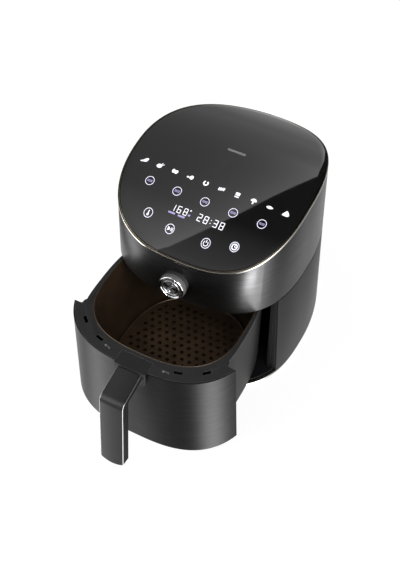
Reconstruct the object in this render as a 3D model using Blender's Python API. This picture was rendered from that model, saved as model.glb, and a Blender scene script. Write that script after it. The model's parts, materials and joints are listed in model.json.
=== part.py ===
"""Air fryer with a pull-out drawer, shown with the drawer part way out.

Metres, +Z up. The front faces -Y, and +X is on the right of someone who faces the front. The
dimensions below are measured from the middle of the body, and one empty then moves the whole
assembly so that the origin lies under the middle of its box. Every named mesh or curve is one
piece. Moving pieces hang from an empty that stands on their joint's axis.
"""
import math

import bmesh
import bpy
from mathutils import Matrix, Vector
from mathutils.geometry import intersect_line_line_2d

# ---------------------------------------------------------------- driving dimensions
GAP = 0.0003                   # clearance kept between neighbouring pieces
ASSEMBLY_Y = 0.0947            # puts the origin under the middle of the whole, drawer open

# Body plan: a squarish front half and a rounder back half that meet at the widest line.
HALF_WIDTH = 0.140
FRONT_DEPTH = 0.1425
BACK_DEPTH = 0.1925
WIDEST_Y = -0.025
FRONT_Y = WIDEST_Y - FRONT_DEPTH
BACK_Y = WIDEST_Y + BACK_DEPTH
FRONT_POWER = 2.8
BACK_POWER = 2.0
TAPER = -0.18                  # change of plan scale for each metre of height
TAPER_Z = 0.20                 # height at which the plan has its nominal size
TOP_PLAN_Z = 0.27              # height whose plan the glass and its trim follow
BODY_SEGMENTS = 72

# Heights
FOOT_HEIGHT = 0.004
BASE_TOP = 0.0075
FLOOR_TOP = 0.0100
FLOOR_INSET = 0.0052           # from the housing's outside
LOWER_TOP = 0.1796
GLAND_Z = 0.035
PLUNGER_Z = 0.156
PLUNGER_TIP_Y = 0.0955
UPPER_BOTTOM = 0.1808
DECK_BOTTOM = 0.1804
DECK_TOP = 0.1824
TOP_CREST = 0.3145             # highest line of the glass, across the middle
TOP_CURVE = 2.00               # fall of the glass towards front and back, per metre squared
WALL = 0.0025

# Drawer
DRAWER_OUT = 0.131             # how far the drawer stands open at rest
PANEL_BACK_Y = -0.1045         # where the front panel stops
DOORWAY_Y = PANEL_BACK_Y + 0.0015
PANEL_BOTTOM = 0.0085
RIM_TOP = 0.1755
RIM_THICK = 0.0038
RIM_SLOT = (0.0130, 0.0050)
RIM_SLOTS = {"outer": (0.0973, -0.1270, 43.0), "inner": (0.0628, -0.1455, 17.0)}
PANEL_THICK = 0.0015
SHELL_THICK = 0.0025
OPENING_HALF_X = 0.1190        # half of the clear width between the jambs
JAMB_DEPTH = 0.003

# Pan and basket plans: half width, front depth, back depth, widest line, powers
PAN_PLAN = (0.1170, 0.092, 0.155, -0.060, 3.2, 2.6)
BASKET_PLAN = (0.1108, 0.0971, 0.1346, -0.045, 2.7, 2.6)
LINER_PLAN = (0.1192, 0.2000, 0.159, -0.060, 3.2, 2.6)
PAN_BOTTOM = 0.0200
SHEET = 0.0015
DRAWER_SEGMENTS = 48
# Inset and height of the basket's wall, from its foot up to its mouth
BASKET_LEVELS = ((0.0190, 0.0235), (0.0140, 0.0255), (0.0108, 0.0320), (0.0095, 0.0420),
                 (0.0, 0.1752))

# Crisper plate
CRISPER_BOTTOM = 0.0345
CRISPER_TOP = 0.0360
CRISPER_INSET = 0.0145         # from the basket's plan
CRISPER_HOLE = 0.005
CRISPER_PITCH = 0.026
CRISPER_ROW_PITCH = 0.0226
CRISPER_REACH = 0.078          # holes further out than this are left out
CRISPER_MIDDLE_Y = -0.028
BUMPERS = ((-0.060, -0.100), (0.060, -0.100), (-0.060, 0.040), (0.060, 0.040))

# Handle
HANDLE_HALF_X = 0.0187
HANDLE_REACH = 0.0546          # how far the bend stands in front of the panel
HANDLE_LEAN = 0.0150           # how much further out the grip's lower end is
HANDLE_END = 0.0215            # height of the grip's lower end
HANDLE_BEND = 0.013            # outer radius of the bend
HANDLE_INNER_BEND = 0.004
HANDLE_ARM_DEPTH = 0.0135
HANDLE_GRIP_DEPTH = 0.0175
HANDLE_COVER = 0.0024          # thickness of the outer cover
HANDLE_TRIM = 0.0008           # width of the bright strip on each side
BRACKET_HALF_X = 0.0245
BRACKET_FRONT_Y = FRONT_Y - 0.0038
BRACKET_INNER_Y = FRONT_Y + 0.0100
BRACKET_BACK_Y = FRONT_Y + 0.0190
BRACKET_BOTTOM = 0.1430
SCREW_X = 0.012
SCREW_Z = 0.156

# Knob
KNOB_Z = 0.218
KNOB_TILT = math.radians(6.0)
KNOB_RADIUS = 0.0203
COLLAR_RADIUS = 0.0192

# Hot air head
FAN_Y = -0.028
SHROUD_RADIUS = 0.100
SHROUD_TOP = 0.2265
COIL_Z = 0.191
COIL_TUBE = 0.003
COIL_OUTER = 0.078
COIL_INNER = 0.056
TERMINAL_RADIUS = 0.088
TERMINAL_ANGLES = (78.0, 95.0)
TERMINAL_TOP = 0.236
PROBE_RADIUS, PROBE_ANGLE = 0.070, 200.0
FUSE_RADIUS, FUSE_ANGLE = 0.062, 145.0

MATERIALS = {
    "black_steel": ((0.030, 0.030, 0.032), 0.34, 0.9),
    "satin_black": ((0.040, 0.040, 0.042), 0.45, 0.0),
    "matte_black": ((0.025, 0.025, 0.026), 0.60, 0.0),
    "black_glass": ((0.010, 0.010, 0.011), 0.05, 0.0),
    "champagne": ((0.70, 0.60, 0.44), 0.22, 1.0),
    "chrome": ((0.80, 0.80, 0.80), 0.08, 1.0),
    "spun_metal": ((0.60, 0.60, 0.61), 0.25, 1.0),
    "non_stick": ((0.028, 0.025, 0.023), 0.38, 0.2),
    "sheet_steel": ((0.55, 0.55, 0.55), 0.35, 1.0),
    "dark_enamel": ((0.022, 0.022, 0.023), 0.45, 0.1),
    "heater_steel": ((0.16, 0.14, 0.13), 0.45, 1.0),
    "rubber": ((0.020, 0.020, 0.020), 0.80, 0.0),
    "silicone": ((0.10, 0.10, 0.10), 0.65, 0.0),
    "circuit_board": ((0.02, 0.16, 0.07), 0.45, 0.0),
    "grey_plastic": ((0.30, 0.30, 0.31), 0.50, 0.0),
    "motor_steel": ((0.45, 0.45, 0.46), 0.40, 1.0),
}


# ---------------------------------------------------------------- helpers
def clear_scene():
    for item in list(bpy.data.objects):
        bpy.data.objects.remove(item, do_unlink=True)


def material(name):
    """Return the named material, made the first time it is asked for."""
    found = bpy.data.materials.get(name)
    if found:
        return found
    color, roughness, metallic = MATERIALS[name]
    made = bpy.data.materials.new(name)
    made.use_nodes = True
    shader = made.node_tree.nodes["Principled BSDF"]
    shader.inputs["Base Color"].default_value = (*color, 1.0)
    shader.inputs["Roughness"].default_value = roughness
    shader.inputs["Metallic"].default_value = metallic
    return made


def empty(name, location, parent=None, tilt=0.0):
    item = bpy.data.objects.new(name, None)
    item.location = location
    item.rotation_euler = (tilt, 0.0, 0.0)
    item.parent = parent
    bpy.context.scene.collection.objects.link(item)
    return item


def finish_mesh(name, bm, slot, parent=None):
    """Turn a bmesh into an object with outward faces and one material."""
    bmesh.ops.recalc_face_normals(bm, faces=bm.faces)
    mesh = bpy.data.meshes.new(name)
    bm.to_mesh(mesh)
    bm.free()
    item = bpy.data.objects.new(name, mesh)
    item.parent = parent
    if slot:
        item.data.materials.append(material(slot))
    bpy.context.scene.collection.objects.link(item)
    return item


def egg(half_x, front, back, centre_y, front_power, back_power, count, inset=0.0):
    """Points of a two-part superellipse, equally spaced in angle and mirrored about x = 0."""
    points = []
    for index in range(count):
        angle = 2.0 * math.pi * (index + 0.5) / count
        cosine, sine = math.cos(angle), math.sin(angle)
        depth, power = (back, back_power) if sine > 0 else (front, front_power)
        reach = (abs(cosine) / (half_x - inset)) ** power + (abs(sine) / (depth - inset)) ** power
        radius = reach ** (-1.0 / power)
        points.append((radius * cosine, centre_y + radius * sine))
    return points


def plan_scale(z):
    """The body narrows evenly from the table up."""
    return 1.0 + TAPER * (z - TAPER_Z)


def body_plan(inset, z):
    """The body's outline at height z, moved inwards by inset."""
    scale = plan_scale(z)
    return egg(HALF_WIDTH * scale, FRONT_DEPTH * scale, BACK_DEPTH * scale, WIDEST_Y * scale,
               FRONT_POWER, BACK_POWER, BODY_SEGMENTS, inset)


def drawer_plan(plan, inset):
    return egg(*plan, DRAWER_SEGMENTS, inset)


def top_height(y):
    return TOP_CREST - TOP_CURVE * y * y


def at_height(outline, z):
    return [(x, y, z) for x, y in outline]


def under_top(outline, depth):
    """Lift an outline so that it lies depth below the curved top."""
    return [(x, y, top_height(y) - depth) for x, y in outline]


def loops_to_bmesh(loops):
    """Join equal-length loops by quads and return the bmesh and its rows of vertices."""
    bm = bmesh.new()
    rows = [[bm.verts.new(point) for point in loop] for loop in loops]
    return bm, rows


def bridge(bm, lower, upper):
    count = len(lower)
    for index in range(count):
        following = (index + 1) % count
        bm.faces.new((lower[index], lower[following], upper[following], upper[index]))


def ring_solid(name, loops, slot, parent=None):
    """A closed band: each loop joins the next, and the last joins the first."""
    bm, rows = loops_to_bmesh(loops)
    for index, row in enumerate(rows):
        bridge(bm, row, rows[(index + 1) % len(rows)])
    return finish_mesh(name, bm, slot, parent)


def capped_solid(name, loops, slot, parent=None):
    """A lofted solid: each loop joins the next, and both ends are capped."""
    bm, rows = loops_to_bmesh(loops)
    for lower, upper in zip(rows, rows[1:]):
        bridge(bm, lower, upper)
    bm.faces.new(rows[0])
    bm.faces.new(rows[-1])
    return finish_mesh(name, bm, slot, parent)


def prism(name, outline, axis, low, high, slot, parent=None):
    """Extrude a flat outline from low to high along axis X, Y or Z."""
    place = {
        "X": lambda point, along: (along, point[0], point[1]),
        "Y": lambda point, along: (point[0], along, point[1]),
        "Z": lambda point, along: (point[0], point[1], along),
    }[axis]
    loops = [[place(point, along) for point in outline] for along in (low, high)]
    return capped_solid(name, loops, slot, parent)


def box(name, low, high, slot, parent=None):
    outline = [(low[0], low[1]), (high[0], low[1]), (high[0], high[1]), (low[0], high[1])]
    return prism(name, outline, "Z", low[2], high[2], slot, parent)


def circle(radius, count, centre=(0.0, 0.0)):
    steps = [2.0 * math.pi * index / count for index in range(count)]
    return [(centre[0] + radius * math.cos(t), centre[1] + radius * math.sin(t)) for t in steps]


def turned(name, profile, slot, count=32, parent=None, centre=(0.0, 0.0)):
    """Turn a profile of (radius, z) about Z. The first and last rings are capped."""
    loops = [at_height(circle(radius, count, centre), z) for radius, z in profile]
    return capped_solid(name, loops, slot, parent)


def turned_ring(name, profile, slot, count=32, parent=None, centre=(0.0, 0.0)):
    """Turn a closed profile of (radius, z) about Z, leaving the middle open."""
    loops = [at_height(circle(radius, count, centre), z) for radius, z in profile]
    return ring_solid(name, loops, slot, parent)


def cut(target, cutter):
    """Subtract a cutter, which stays in the scene as a wire guide."""
    cutter.display_type = "WIRE"
    cutter.hide_render = True
    cutter.name = "cutter_" + cutter.name
    modifier = target.modifiers.new("cut_" + cutter.name, "BOOLEAN")
    modifier.operation = "DIFFERENCE"
    modifier.solver = "EXACT"
    modifier.object = cutter


def joined_boxes(name, boxes, parent=None):
    """One cutter made of several separate boxes, each a low and a high corner."""
    bm = bmesh.new()
    for low, high in boxes:
        size = [high[axis] - low[axis] for axis in range(3)]
        middle = [(high[axis] + low[axis]) / 2.0 for axis in range(3)]
        matrix = Matrix.Translation(middle) @ Matrix.Diagonal((*size, 1.0))
        bmesh.ops.create_cube(bm, size=1.0, matrix=matrix)
    return finish_mesh(name, bm, None, parent)


# ---------------------------------------------------------------- base and lower body
def build_base():
    ring = [(0.0, FOOT_HEIGHT), (0.0, BASE_TOP), (0.003, BASE_TOP), (0.003, FOOT_HEIGHT)]
    loops = [at_height(body_plan(inset, BASE_TOP), z) for inset, z in ring]
    ring_solid("base_trim_ring", loops, "champagne")

    inset = 0.003 + GAP
    plate = prism("base_plate", body_plan(inset, BASE_TOP), "Z", FOOT_HEIGHT, BASE_TOP, "matte_black")
    slots = [((-0.03, y - 0.002, 0.0), (0.03, y + 0.002, 0.02))
             for y in (0.085 + 0.009 * index for index in range(5))]
    cut(plate, joined_boxes("intake_slots", slots))

    floor = body_plan(FLOOR_INSET, FLOOR_TOP)
    prism("cavity_floor", floor, "Z", BASE_TOP + GAP, FLOOR_TOP, "matte_black")

    foot = [(0.0085, 0.0), (0.0100, 0.0008), (0.0100, FOOT_HEIGHT - GAP)]
    for side, x in (("left", -0.085), ("right", 0.085)):
        for end, y in (("front", -0.105), ("rear", 0.095)):
            turned(f"foot_{end}_{side}", foot, "rubber", 20, None, (x, y))


def build_lower_housing():
    bottom, top = BASE_TOP + GAP, LOWER_TOP
    loops = [at_height(body_plan(inset, z), z)
             for inset, z in ((0.0, bottom), (0.0, top), (WALL, top), (WALL, bottom))]
    housing = ring_solid("lower_housing", loops, "satin_black")
    cut(housing, box("drawer_doorway", (-0.2, -0.3, -0.1), (0.2, DOORWAY_Y, 0.3), None))
    gland = turned("gland_hole", [(0.0075, -0.03), (0.0075, 0.03)], None, 20)
    gland.rotation_euler = (math.radians(-90.0), 0.0, 0.0)
    gland.location = (0.0, BACK_Y, GLAND_Z)
    cut(housing, gland)

    edge_bottom = body_plan(WALL + GAP, bottom)
    edge_top = body_plan(WALL + GAP, top)
    reach_bottom = crossing(edge_bottom, DOORWAY_Y)
    reach_top = crossing(edge_top, DOORWAY_Y)
    for side, sign in (("left", -1.0), ("right", 1.0)):
        section = [(sign * OPENING_HALF_X, FLOOR_TOP + GAP), (sign * reach_bottom, FLOOR_TOP + GAP),
                   (sign * reach_top, top), (sign * OPENING_HALF_X, top)]
        prism(f"jamb_{side}", section, "Y", DOORWAY_Y, DOORWAY_Y + JAMB_DEPTH, "satin_black")


def crossing(outline, y):
    """Half width of an outline where it crosses the given y, on the +X side."""
    for (x0, y0), (x1, y1) in zip(outline, outline[1:] + outline[:1]):
        if x0 > 0 and x1 > 0 and (y0 - y) * (y1 - y) <= 0 and y0 != y1:
            return x0 + (x1 - x0) * (y - y0) / (y1 - y0)
    return 0.0


def build_cavity():
    low, high = FLOOR_TOP + GAP, LOWER_TOP
    thick = 0.0012
    loops = [at_height(drawer_plan(LINER_PLAN, inset), z)
             for inset, z in ((-thick, low), (-thick, high), (0.0, high), (0.0, low))]
    liner = ring_solid("cavity_liner", loops, "dark_enamel")
    start = DOORWAY_Y + JAMB_DEPTH + GAP
    cut(liner, box("liner_mouth", (-0.2, -0.3, -0.1), (0.2, start, 0.3), None))
    hole = turned("plunger_hole", [(0.0028, -0.01), (0.0028, 0.01)], None, 16)
    hole.rotation_euler = (math.radians(-90.0), 0.0, 0.0)
    hole.location = (0.0, 0.0995, PLUNGER_Z)
    cut(liner, hole)

    for side, sign in (("left", -1.0), ("right", 1.0)):
        xs = sorted((sign * 0.090, sign * 0.098))
        box(f"rail_{side}", (xs[0], -0.125, FLOOR_TOP + GAP), (xs[1], 0.020, PAN_BOTTOM - GAP),
            "grey_plastic")


def build_safety_switch():
    """Micro switch behind the cavity, with the plunger that the pan's back presses."""
    switch = box("safety_switch", (-0.010, 0.1018, 0.149), (0.010, 0.112, 0.163), "grey_plastic")
    bore = turned("plunger_bore", [(0.0024, -0.002), (0.0024, 0.0032)], None, 12)
    bore.rotation_euler = (math.radians(-90.0), 0.0, 0.0)
    bore.location = (0.0, 0.1018, PLUNGER_Z)
    cut(switch, bore)
    axis = empty("plunger_axis", (0.0, PLUNGER_TIP_Y, PLUNGER_Z))
    pin = turned("switch_plunger", [(0.0014, 0.0), (0.0020, 0.0006), (0.0020, 0.0058)],
                 "grey_plastic", 12, axis)
    pin.rotation_euler = (math.radians(-90.0), 0.0, 0.0)


def build_cord_gland():
    """Round bush in the back wall where the mains cord leaves."""
    wall_y = BACK_Y * plan_scale(GLAND_Z)
    profile = [(0.0105, 0.0004), (0.0105, 0.0022), (0.0078, 0.0050), (0.0078, 0.0062),
               (0.0042, 0.0062), (0.0042, -0.0090), (0.0070, -0.0090), (0.0070, 0.0004)]
    gland = turned_ring("cord_gland", profile, "rubber", 20)
    gland.rotation_euler = (math.radians(-90.0), 0.0, 0.0)
    gland.location = (0.0, wall_y, GLAND_Z)


# ---------------------------------------------------------------- upper body
def build_upper_housing():
    ledge = 0.0033
    loops = [at_height(body_plan(0.0, UPPER_BOTTOM), UPPER_BOTTOM),
             under_top(body_plan(0.0, TOP_PLAN_Z), ledge),
             under_top(body_plan(WALL, TOP_PLAN_Z), ledge),
             at_height(body_plan(WALL, UPPER_BOTTOM), UPPER_BOTTOM)]
    housing = ring_solid("upper_housing", loops, "black_steel")
    hole = turned("collar_hole", [(COLLAR_RADIUS + GAP, -0.02), (COLLAR_RADIUS + GAP, 0.03)], None, 32)
    place_on_knob_axis(hole)
    cut(housing, hole)
    slots = [((-0.034, 0.13, z), (0.034, 0.20, z + 0.0035))
             for z in (0.196 + 0.008 * index for index in range(6))]
    cut(housing, joined_boxes("rear_vent_slots", slots))

    ring = ((0.0, 0.0028), (0.0, 0.0006), (0.0005, 0.0), (0.0024, 0.0), (0.0028, 0.0006),
            (0.0028, 0.0028))
    loops = [under_top(body_plan(inset, TOP_PLAN_Z), depth + 0.0002) for inset, depth in ring]
    ring_solid("top_trim_ring", loops, "champagne")


def curved_plate(name, inset, depth, thickness, slot):
    """A plate that follows the curved top, built of strips across the body."""
    outline = body_plan(inset, TOP_PLAN_Z)
    half = len(outline) // 2
    bm = bmesh.new()
    layers = []
    for drop in (depth, depth + thickness):
        layers.append([bm.verts.new(point) for point in under_top(outline, drop)])
    upper, lower = layers
    count = len(outline)
    partner = [(half - 1 - index) % count for index in range(count)]
    right = sorted((i for i in range(count) if outline[i][0] > 0), key=lambda i: outline[i][1])
    for first, second in zip(right, right[1:]):
        bm.faces.new((upper[first], upper[second], upper[partner[second]], upper[partner[first]]))
        bm.faces.new((lower[first], lower[second], lower[partner[second]], lower[partner[first]]))
    bridge(bm, lower, upper)
    return finish_mesh(name, bm, slot)


def build_top():
    glass_inset = 0.0028 + GAP
    curved_plate("top_glass", glass_inset, 0.0004, 0.0030, "black_glass")
    curved_plate("top_cover", WALL + 2 * GAP, 0.0040, 0.0020, "matte_black")


def build_deck():
    """Plate between the drawer cavity and the head, with the round hot air opening."""
    deck = prism("deck_plate", body_plan(WALL + GAP, DECK_BOTTOM), "Z", DECK_BOTTOM, DECK_TOP,
                 "dark_enamel")
    cut(deck, turned("hot_air_opening", [(0.0885, 0.1), (0.0885, 0.25)], None, 48, None,
                     (0.0, FAN_Y)))


def build_knob_seat():
    """Fixed collar and rotary encoder behind the knob."""
    collar = turned_ring("knob_collar", [(COLLAR_RADIUS, -0.0035), (COLLAR_RADIUS, 0.0062),
                                         (COLLAR_RADIUS - 0.0008, 0.0070), (0.0040, 0.0070),
                                         (0.0040, -0.0035)], "satin_black", 32)
    place_on_knob_axis(collar)
    encoder = box("rotary_encoder", (-0.0065, -0.0065, -0.0120), (0.0065, 0.0065, -0.0039),
                  "grey_plastic")
    place_on_knob_axis(encoder)


def knob_origin():
    return (0.0, FRONT_Y * plan_scale(KNOB_Z), KNOB_Z)


def place_on_knob_axis(item):
    """Turn a piece modelled along +Z so that it points out of the front along the knob's axis."""
    item.rotation_euler = (math.radians(90.0) - KNOB_TILT, 0.0, 0.0)
    item.location = knob_origin()


def build_knob():
    axis = empty("knob_axis", knob_origin(), None, math.radians(90.0) - KNOB_TILT)
    turned("knob_shaft", [(0.0030, -0.0036), (0.0030, 0.0070)], "sheet_steel", 16, axis)
    turned("knob_barrel", [(KNOB_RADIUS - 0.0010, 0.0073), (KNOB_RADIUS, 0.0082),
                           (KNOB_RADIUS, 0.0138), (KNOB_RADIUS - 0.0006, 0.0145)],
           "satin_black", 40, axis)
    turned_ring("knob_bezel", [(0.0195, 0.0148), (0.0190, 0.0160), (0.0176, 0.0165),
                               (0.0160, 0.0160), (0.0156, 0.0148)], "chrome", 40, axis)
    turned("knob_face", [(0.0152, 0.0148), (0.0152, 0.0158), (0.0125, 0.0162), (0.0110, 0.0155),
                         (0.0040, 0.0152)], "spun_metal", 40, axis)


# ---------------------------------------------------------------- hot air head
def build_head():
    centre = (0.0, FAN_Y)
    sheet = 0.0012
    low = DECK_TOP + GAP
    profile = [(SHROUD_RADIUS + 0.006, low), (SHROUD_RADIUS + 0.006, low + sheet),
               (SHROUD_RADIUS, low + sheet), (SHROUD_RADIUS, SHROUD_TOP), (0.0045, SHROUD_TOP),
               (0.0045, SHROUD_TOP - sheet), (SHROUD_RADIUS - sheet, SHROUD_TOP - sheet),
               (SHROUD_RADIUS - sheet, low)]
    shroud = turned_ring("air_shroud", profile, "sheet_steel", 48, None, centre)
    for index, angle in enumerate(TERMINAL_ANGLES):
        x, y = polar(TERMINAL_RADIUS, angle)
        cut(shroud, turned(f"terminal_hole_{index}", [(0.0045, 0.21), (0.0045, 0.24)], None, 12,
                           None, (x, y)))
    probe = polar(PROBE_RADIUS, PROBE_ANGLE)
    cut(shroud, turned("probe_hole", [(0.0026, 0.21), (0.0026, 0.24)], None, 12, None, probe))
    turned("temperature_probe", [(0.0010, 0.1990), (0.0018, 0.2000), (0.0018, 0.2400)],
           "sheet_steel", 12, None, probe)
    fuse_x, fuse_y = polar(FUSE_RADIUS, FUSE_ANGLE)
    box("thermal_fuse", (fuse_x - 0.009, fuse_y - 0.004, SHROUD_TOP + GAP),
        (fuse_x + 0.009, fuse_y + 0.004, SHROUD_TOP + 0.006), "grey_plastic")


def polar(radius, degrees):
    angle = math.radians(degrees)
    return radius * math.cos(angle), FAN_Y + radius * math.sin(angle)


def build_heating_element():
    """One bent tube: out round the large circle, back round the small one, both ends going up."""
    path = [(*polar(TERMINAL_RADIUS, TERMINAL_ANGLES[1]), TERMINAL_TOP)]
    path.append((*polar(TERMINAL_RADIUS, TERMINAL_ANGLES[1]), COIL_Z + 0.004))
    path.append((*polar(TERMINAL_RADIUS - 0.003, TERMINAL_ANGLES[1] + 2.0), COIL_Z))
    outer_start, outer_end = 99.0, 420.0
    steps = 33
    for index in range(steps + 1):
        angle = outer_start + (outer_end - outer_start) * index / steps
        path.append((*polar(COIL_OUTER, angle), COIL_Z))
    inner_start, inner_end = 56.0, TERMINAL_ANGLES[0] - 360.0
    for index in range(steps + 1):
        angle = inner_start + (inner_end - inner_start) * index / steps
        path.append((*polar(COIL_INNER, angle), COIL_Z))
    path.append((*polar(TERMINAL_RADIUS - 0.004, TERMINAL_ANGLES[0]), COIL_Z))
    path.append((*polar(TERMINAL_RADIUS, TERMINAL_ANGLES[0]), COIL_Z + 0.004))
    path.append((*polar(TERMINAL_RADIUS, TERMINAL_ANGLES[0]), TERMINAL_TOP))
    curve = bpy.data.curves.new("heating_element", "CURVE")
    curve.dimensions = "3D"
    curve.bevel_depth = COIL_TUBE
    curve.bevel_resolution = 1
    curve.use_fill_caps = True
    spline = curve.splines.new("POLY")
    spline.points.add(len(path) - 1)
    for point, place in zip(spline.points, path):
        point.co = (*place, 1.0)
    item = bpy.data.objects.new("heating_element", curve)
    item.data.materials.append(material("heater_steel"))
    bpy.context.scene.collection.objects.link(item)


def bladed_wheel(name, hub, bore, rim, low, high, blades, slot, parent):
    """Fan wheel: a bored hub and disc with flat radial blades standing on it."""
    bm = bmesh.new()
    count = 48
    disc = 0.0012
    profile = [(hub, high), (bore, high), (bore, low), (rim, low), (rim, low + disc), (hub, low + disc)]
    rows = [[bm.verts.new((*point, z)) for point in circle(radius, count)] for radius, z in profile]
    for lower, upper in zip(rows[:4], rows[1:5]):
        bridge(bm, lower, upper)
    inner, outer = rows[4], rows[5]
    step = count // blades
    walls = []
    for index in range(count):
        following = (index + 1) % count
        if index % step:
            bm.faces.new((inner[index], inner[following], outer[following], outer[index]))
            bm.faces.new((outer[index], outer[following], rows[0][following], rows[0][index]))
        else:
            walls.append((index, following))
    for index, following in walls:
        base = (inner[index], inner[following], outer[following], outer[index])
        lift = [bm.verts.new((inner[i].co.x, inner[i].co.y, high)) for i in (index, following)]
        hub_top = (rows[0][following], rows[0][index])
        bm.faces.new((lift[0], lift[1], *hub_top))
        bm.faces.new((base[0], base[1], lift[1], lift[0]))
        bm.faces.new((base[1], base[2], hub_top[0], lift[1]))
        bm.faces.new((base[3], base[0], lift[0], hub_top[1]))
    return finish_mesh(name, bm, slot, parent)


def build_fan_drive():
    axis = empty("fan_axis", (0.0, FAN_Y, 0.0))
    turned("motor_shaft", [(0.0018, 0.1985), (0.0025, 0.1995), (0.0025, 0.2404)], "sheet_steel", 16,
           axis)
    bladed_wheel("convection_fan", 0.010, 0.0028, 0.062, 0.2000, 0.2120, 8, "sheet_steel", axis)
    bladed_wheel("cooling_fan", 0.009, 0.0028, 0.042, 0.2290, 0.2350, 8, "grey_plastic", axis)

    leg, foot_x, plate_low, plate_high = 0.002, 0.110, 0.2385, 0.2405
    low = DECK_TOP + GAP
    section = [(-foot_x, low), (-foot_x + leg, low), (-foot_x + leg, plate_low),
               (foot_x - leg, plate_low), (foot_x - leg, low), (foot_x, low), (foot_x, plate_high),
               (-foot_x, plate_high)]
    bracket = prism("motor_bracket", section, "Y", FAN_Y - 0.014, FAN_Y + 0.014, "sheet_steel")
    cut(bracket, turned("shaft_hole", [(0.0035, 0.22), (0.0035, 0.25)], None, 16, None, (0.0, FAN_Y)))
    turned("fan_motor", [(0.0200, 0.2408), (0.0220, 0.2425), (0.0220, 0.2620), (0.0200, 0.2640)],
           "motor_steel", 32, None, (0.0, FAN_Y))


def build_electronics():
    """Control board and display under the sloping glass, power board at the back."""
    tilt = math.atan(2.0 * TOP_CURVE * 0.095)
    frame = empty("control_board_frame", (0.0, -0.095, top_height(-0.095) - 0.0135), None, tilt)
    box("control_board", (-0.075, -0.036, -0.0016), (0.075, 0.040, 0.0), "circuit_board", frame)
    box("display_module", (-0.040, -0.010, GAP), (0.040, 0.010, 0.0040), "grey_plastic", frame)
    box("power_board", (-0.040, 0.092, 0.1900), (0.040, 0.140, 0.1916), "circuit_board")
    box("power_relay", (-0.030, 0.098, 0.1919), (-0.006, 0.116, 0.2080), "grey_plastic")
    turned("capacitor", [(0.0060, 0.1919), (0.0060, 0.2060)], "grey_plastic", 16, None,
           (0.018, 0.115))


# ---------------------------------------------------------------- drawer
def bucket(name, plan, levels, sheet, slot, parent):
    """Open box with a floor: levels are (inset, z) from the bottom edge up to the mouth."""
    outer = [at_height(drawer_plan(plan, inset), z) for inset, z in levels]
    inner = [at_height(drawer_plan(plan, inset + sheet), max(z, levels[0][1] + sheet))
             for inset, z in levels]
    return capped_solid(name, outer + inner[::-1], slot, parent)


def build_pan(drawer):
    top = RIM_TOP - RIM_THICK - GAP
    levels = [(0.0110, PAN_BOTTOM), (0.0060, PAN_BOTTOM + 0.0022), (0.0032, PAN_BOTTOM + 0.0080),
              (0.0022, PAN_BOTTOM + 0.0200), (0.0, top)]
    bucket("pan", PAN_PLAN, levels, SHEET, "satin_black", drawer)


def build_basket(drawer):
    bucket("basket", BASKET_PLAN, BASKET_LEVELS, SHEET, "non_stick", drawer)


def rim_outline():
    """Flange outline: the front follows the panel, the rest follows the pan's edge."""
    front = [(x, y) for x, y in body_plan(PANEL_THICK + GAP, RIM_TOP) if y < PANEL_BACK_Y]
    wing = crossing(body_plan(PANEL_THICK + GAP, RIM_TOP), PANEL_BACK_Y)
    widest = PAN_PLAN[3]
    edge = drawer_plan(PAN_PLAN, 0.0)
    pan = [(x, y) for x, y in edge if x > 0 and -0.096 < y < widest]
    pan += [(x, y) for x, y in edge if y > widest or (x < 0 and y > -0.096)]
    notch = OPENING_HALF_X - 0.0012
    right = [(wing, PANEL_BACK_Y), (notch + 0.003, PANEL_BACK_Y), (notch, PANEL_BACK_Y + 0.002),
             (notch, -0.0985)]
    left = [(-x, y) for x, y in reversed(right)]
    return front + right + pan + left


def build_rim(drawer):
    low = RIM_TOP - RIM_THICK
    rim = prism("drawer_rim", rim_outline(), "Z", low, RIM_TOP, "matte_black", drawer)
    mouth = drawer_plan(BASKET_PLAN, -0.0004)
    cut(rim, prism("basket_mouth", mouth, "Z", low - 0.01, RIM_TOP + 0.01, None, drawer))
    cut(rim, bracket_cutter("rim", drawer))
    half_x, half_y = RIM_SLOT[0] / 2.0, RIM_SLOT[1] / 2.0
    for name, (x, y, turn) in RIM_SLOTS.items():
        for side, sign in (("left", -1.0), ("right", 1.0)):
            slot = box(f"rim_slot_{name}_{side}", (-half_x, -half_y, low - 0.01),
                       (half_x, half_y, RIM_TOP + 0.01), None, drawer)
            slot.location = (sign * x, y, 0.0)
            slot.rotation_euler = (0.0, 0.0, sign * math.radians(turn))
            cut(rim, slot)


def bracket_cutter(owner, drawer):
    """Pocket for the handle bracket, open to the front and to the top."""
    name = f"bracket_pocket_{owner}"
    reach = BRACKET_HALF_X + GAP
    if owner == "rim":
        return box(name, (-reach, -0.30, 0.10), (reach, BRACKET_BACK_Y + GAP, 0.30), None, drawer)
    return box(name, (-reach, -0.30, BRACKET_BOTTOM - GAP), (reach, -0.10, 0.30), None, drawer)


def build_front(drawer):
    top = RIM_TOP - 0.0002
    loops = [at_height(body_plan(inset, z), z)
             for inset, z in ((0.0, PANEL_BOTTOM), (0.0, top), (PANEL_THICK, top),
                              (PANEL_THICK, PANEL_BOTTOM))]
    panel = ring_solid("drawer_front_panel", loops, "black_steel", drawer)
    cut(panel, box("panel_end", (-0.3, PANEL_BACK_Y, -0.1), (0.3, 0.4, 0.4), None, drawer))
    cut(panel, bracket_cutter("panel", drawer))

    low, high = PANEL_BOTTOM + 0.0005, RIM_TOP - RIM_THICK - GAP
    start, end = PANEL_THICK + GAP, PANEL_THICK + GAP + SHELL_THICK
    loops = [at_height(body_plan(inset, z), z)
             for inset, z in ((start, low), (start, high), (end, high), (end, low))]
    shell = ring_solid("drawer_front_shell", loops, "matte_black", drawer)
    cut(shell, box("shell_end", (-0.3, PANEL_BACK_Y, -0.1), (0.3, 0.4, 0.4), None, drawer))
    cut(shell, bracket_cutter("shell", drawer))


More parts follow.
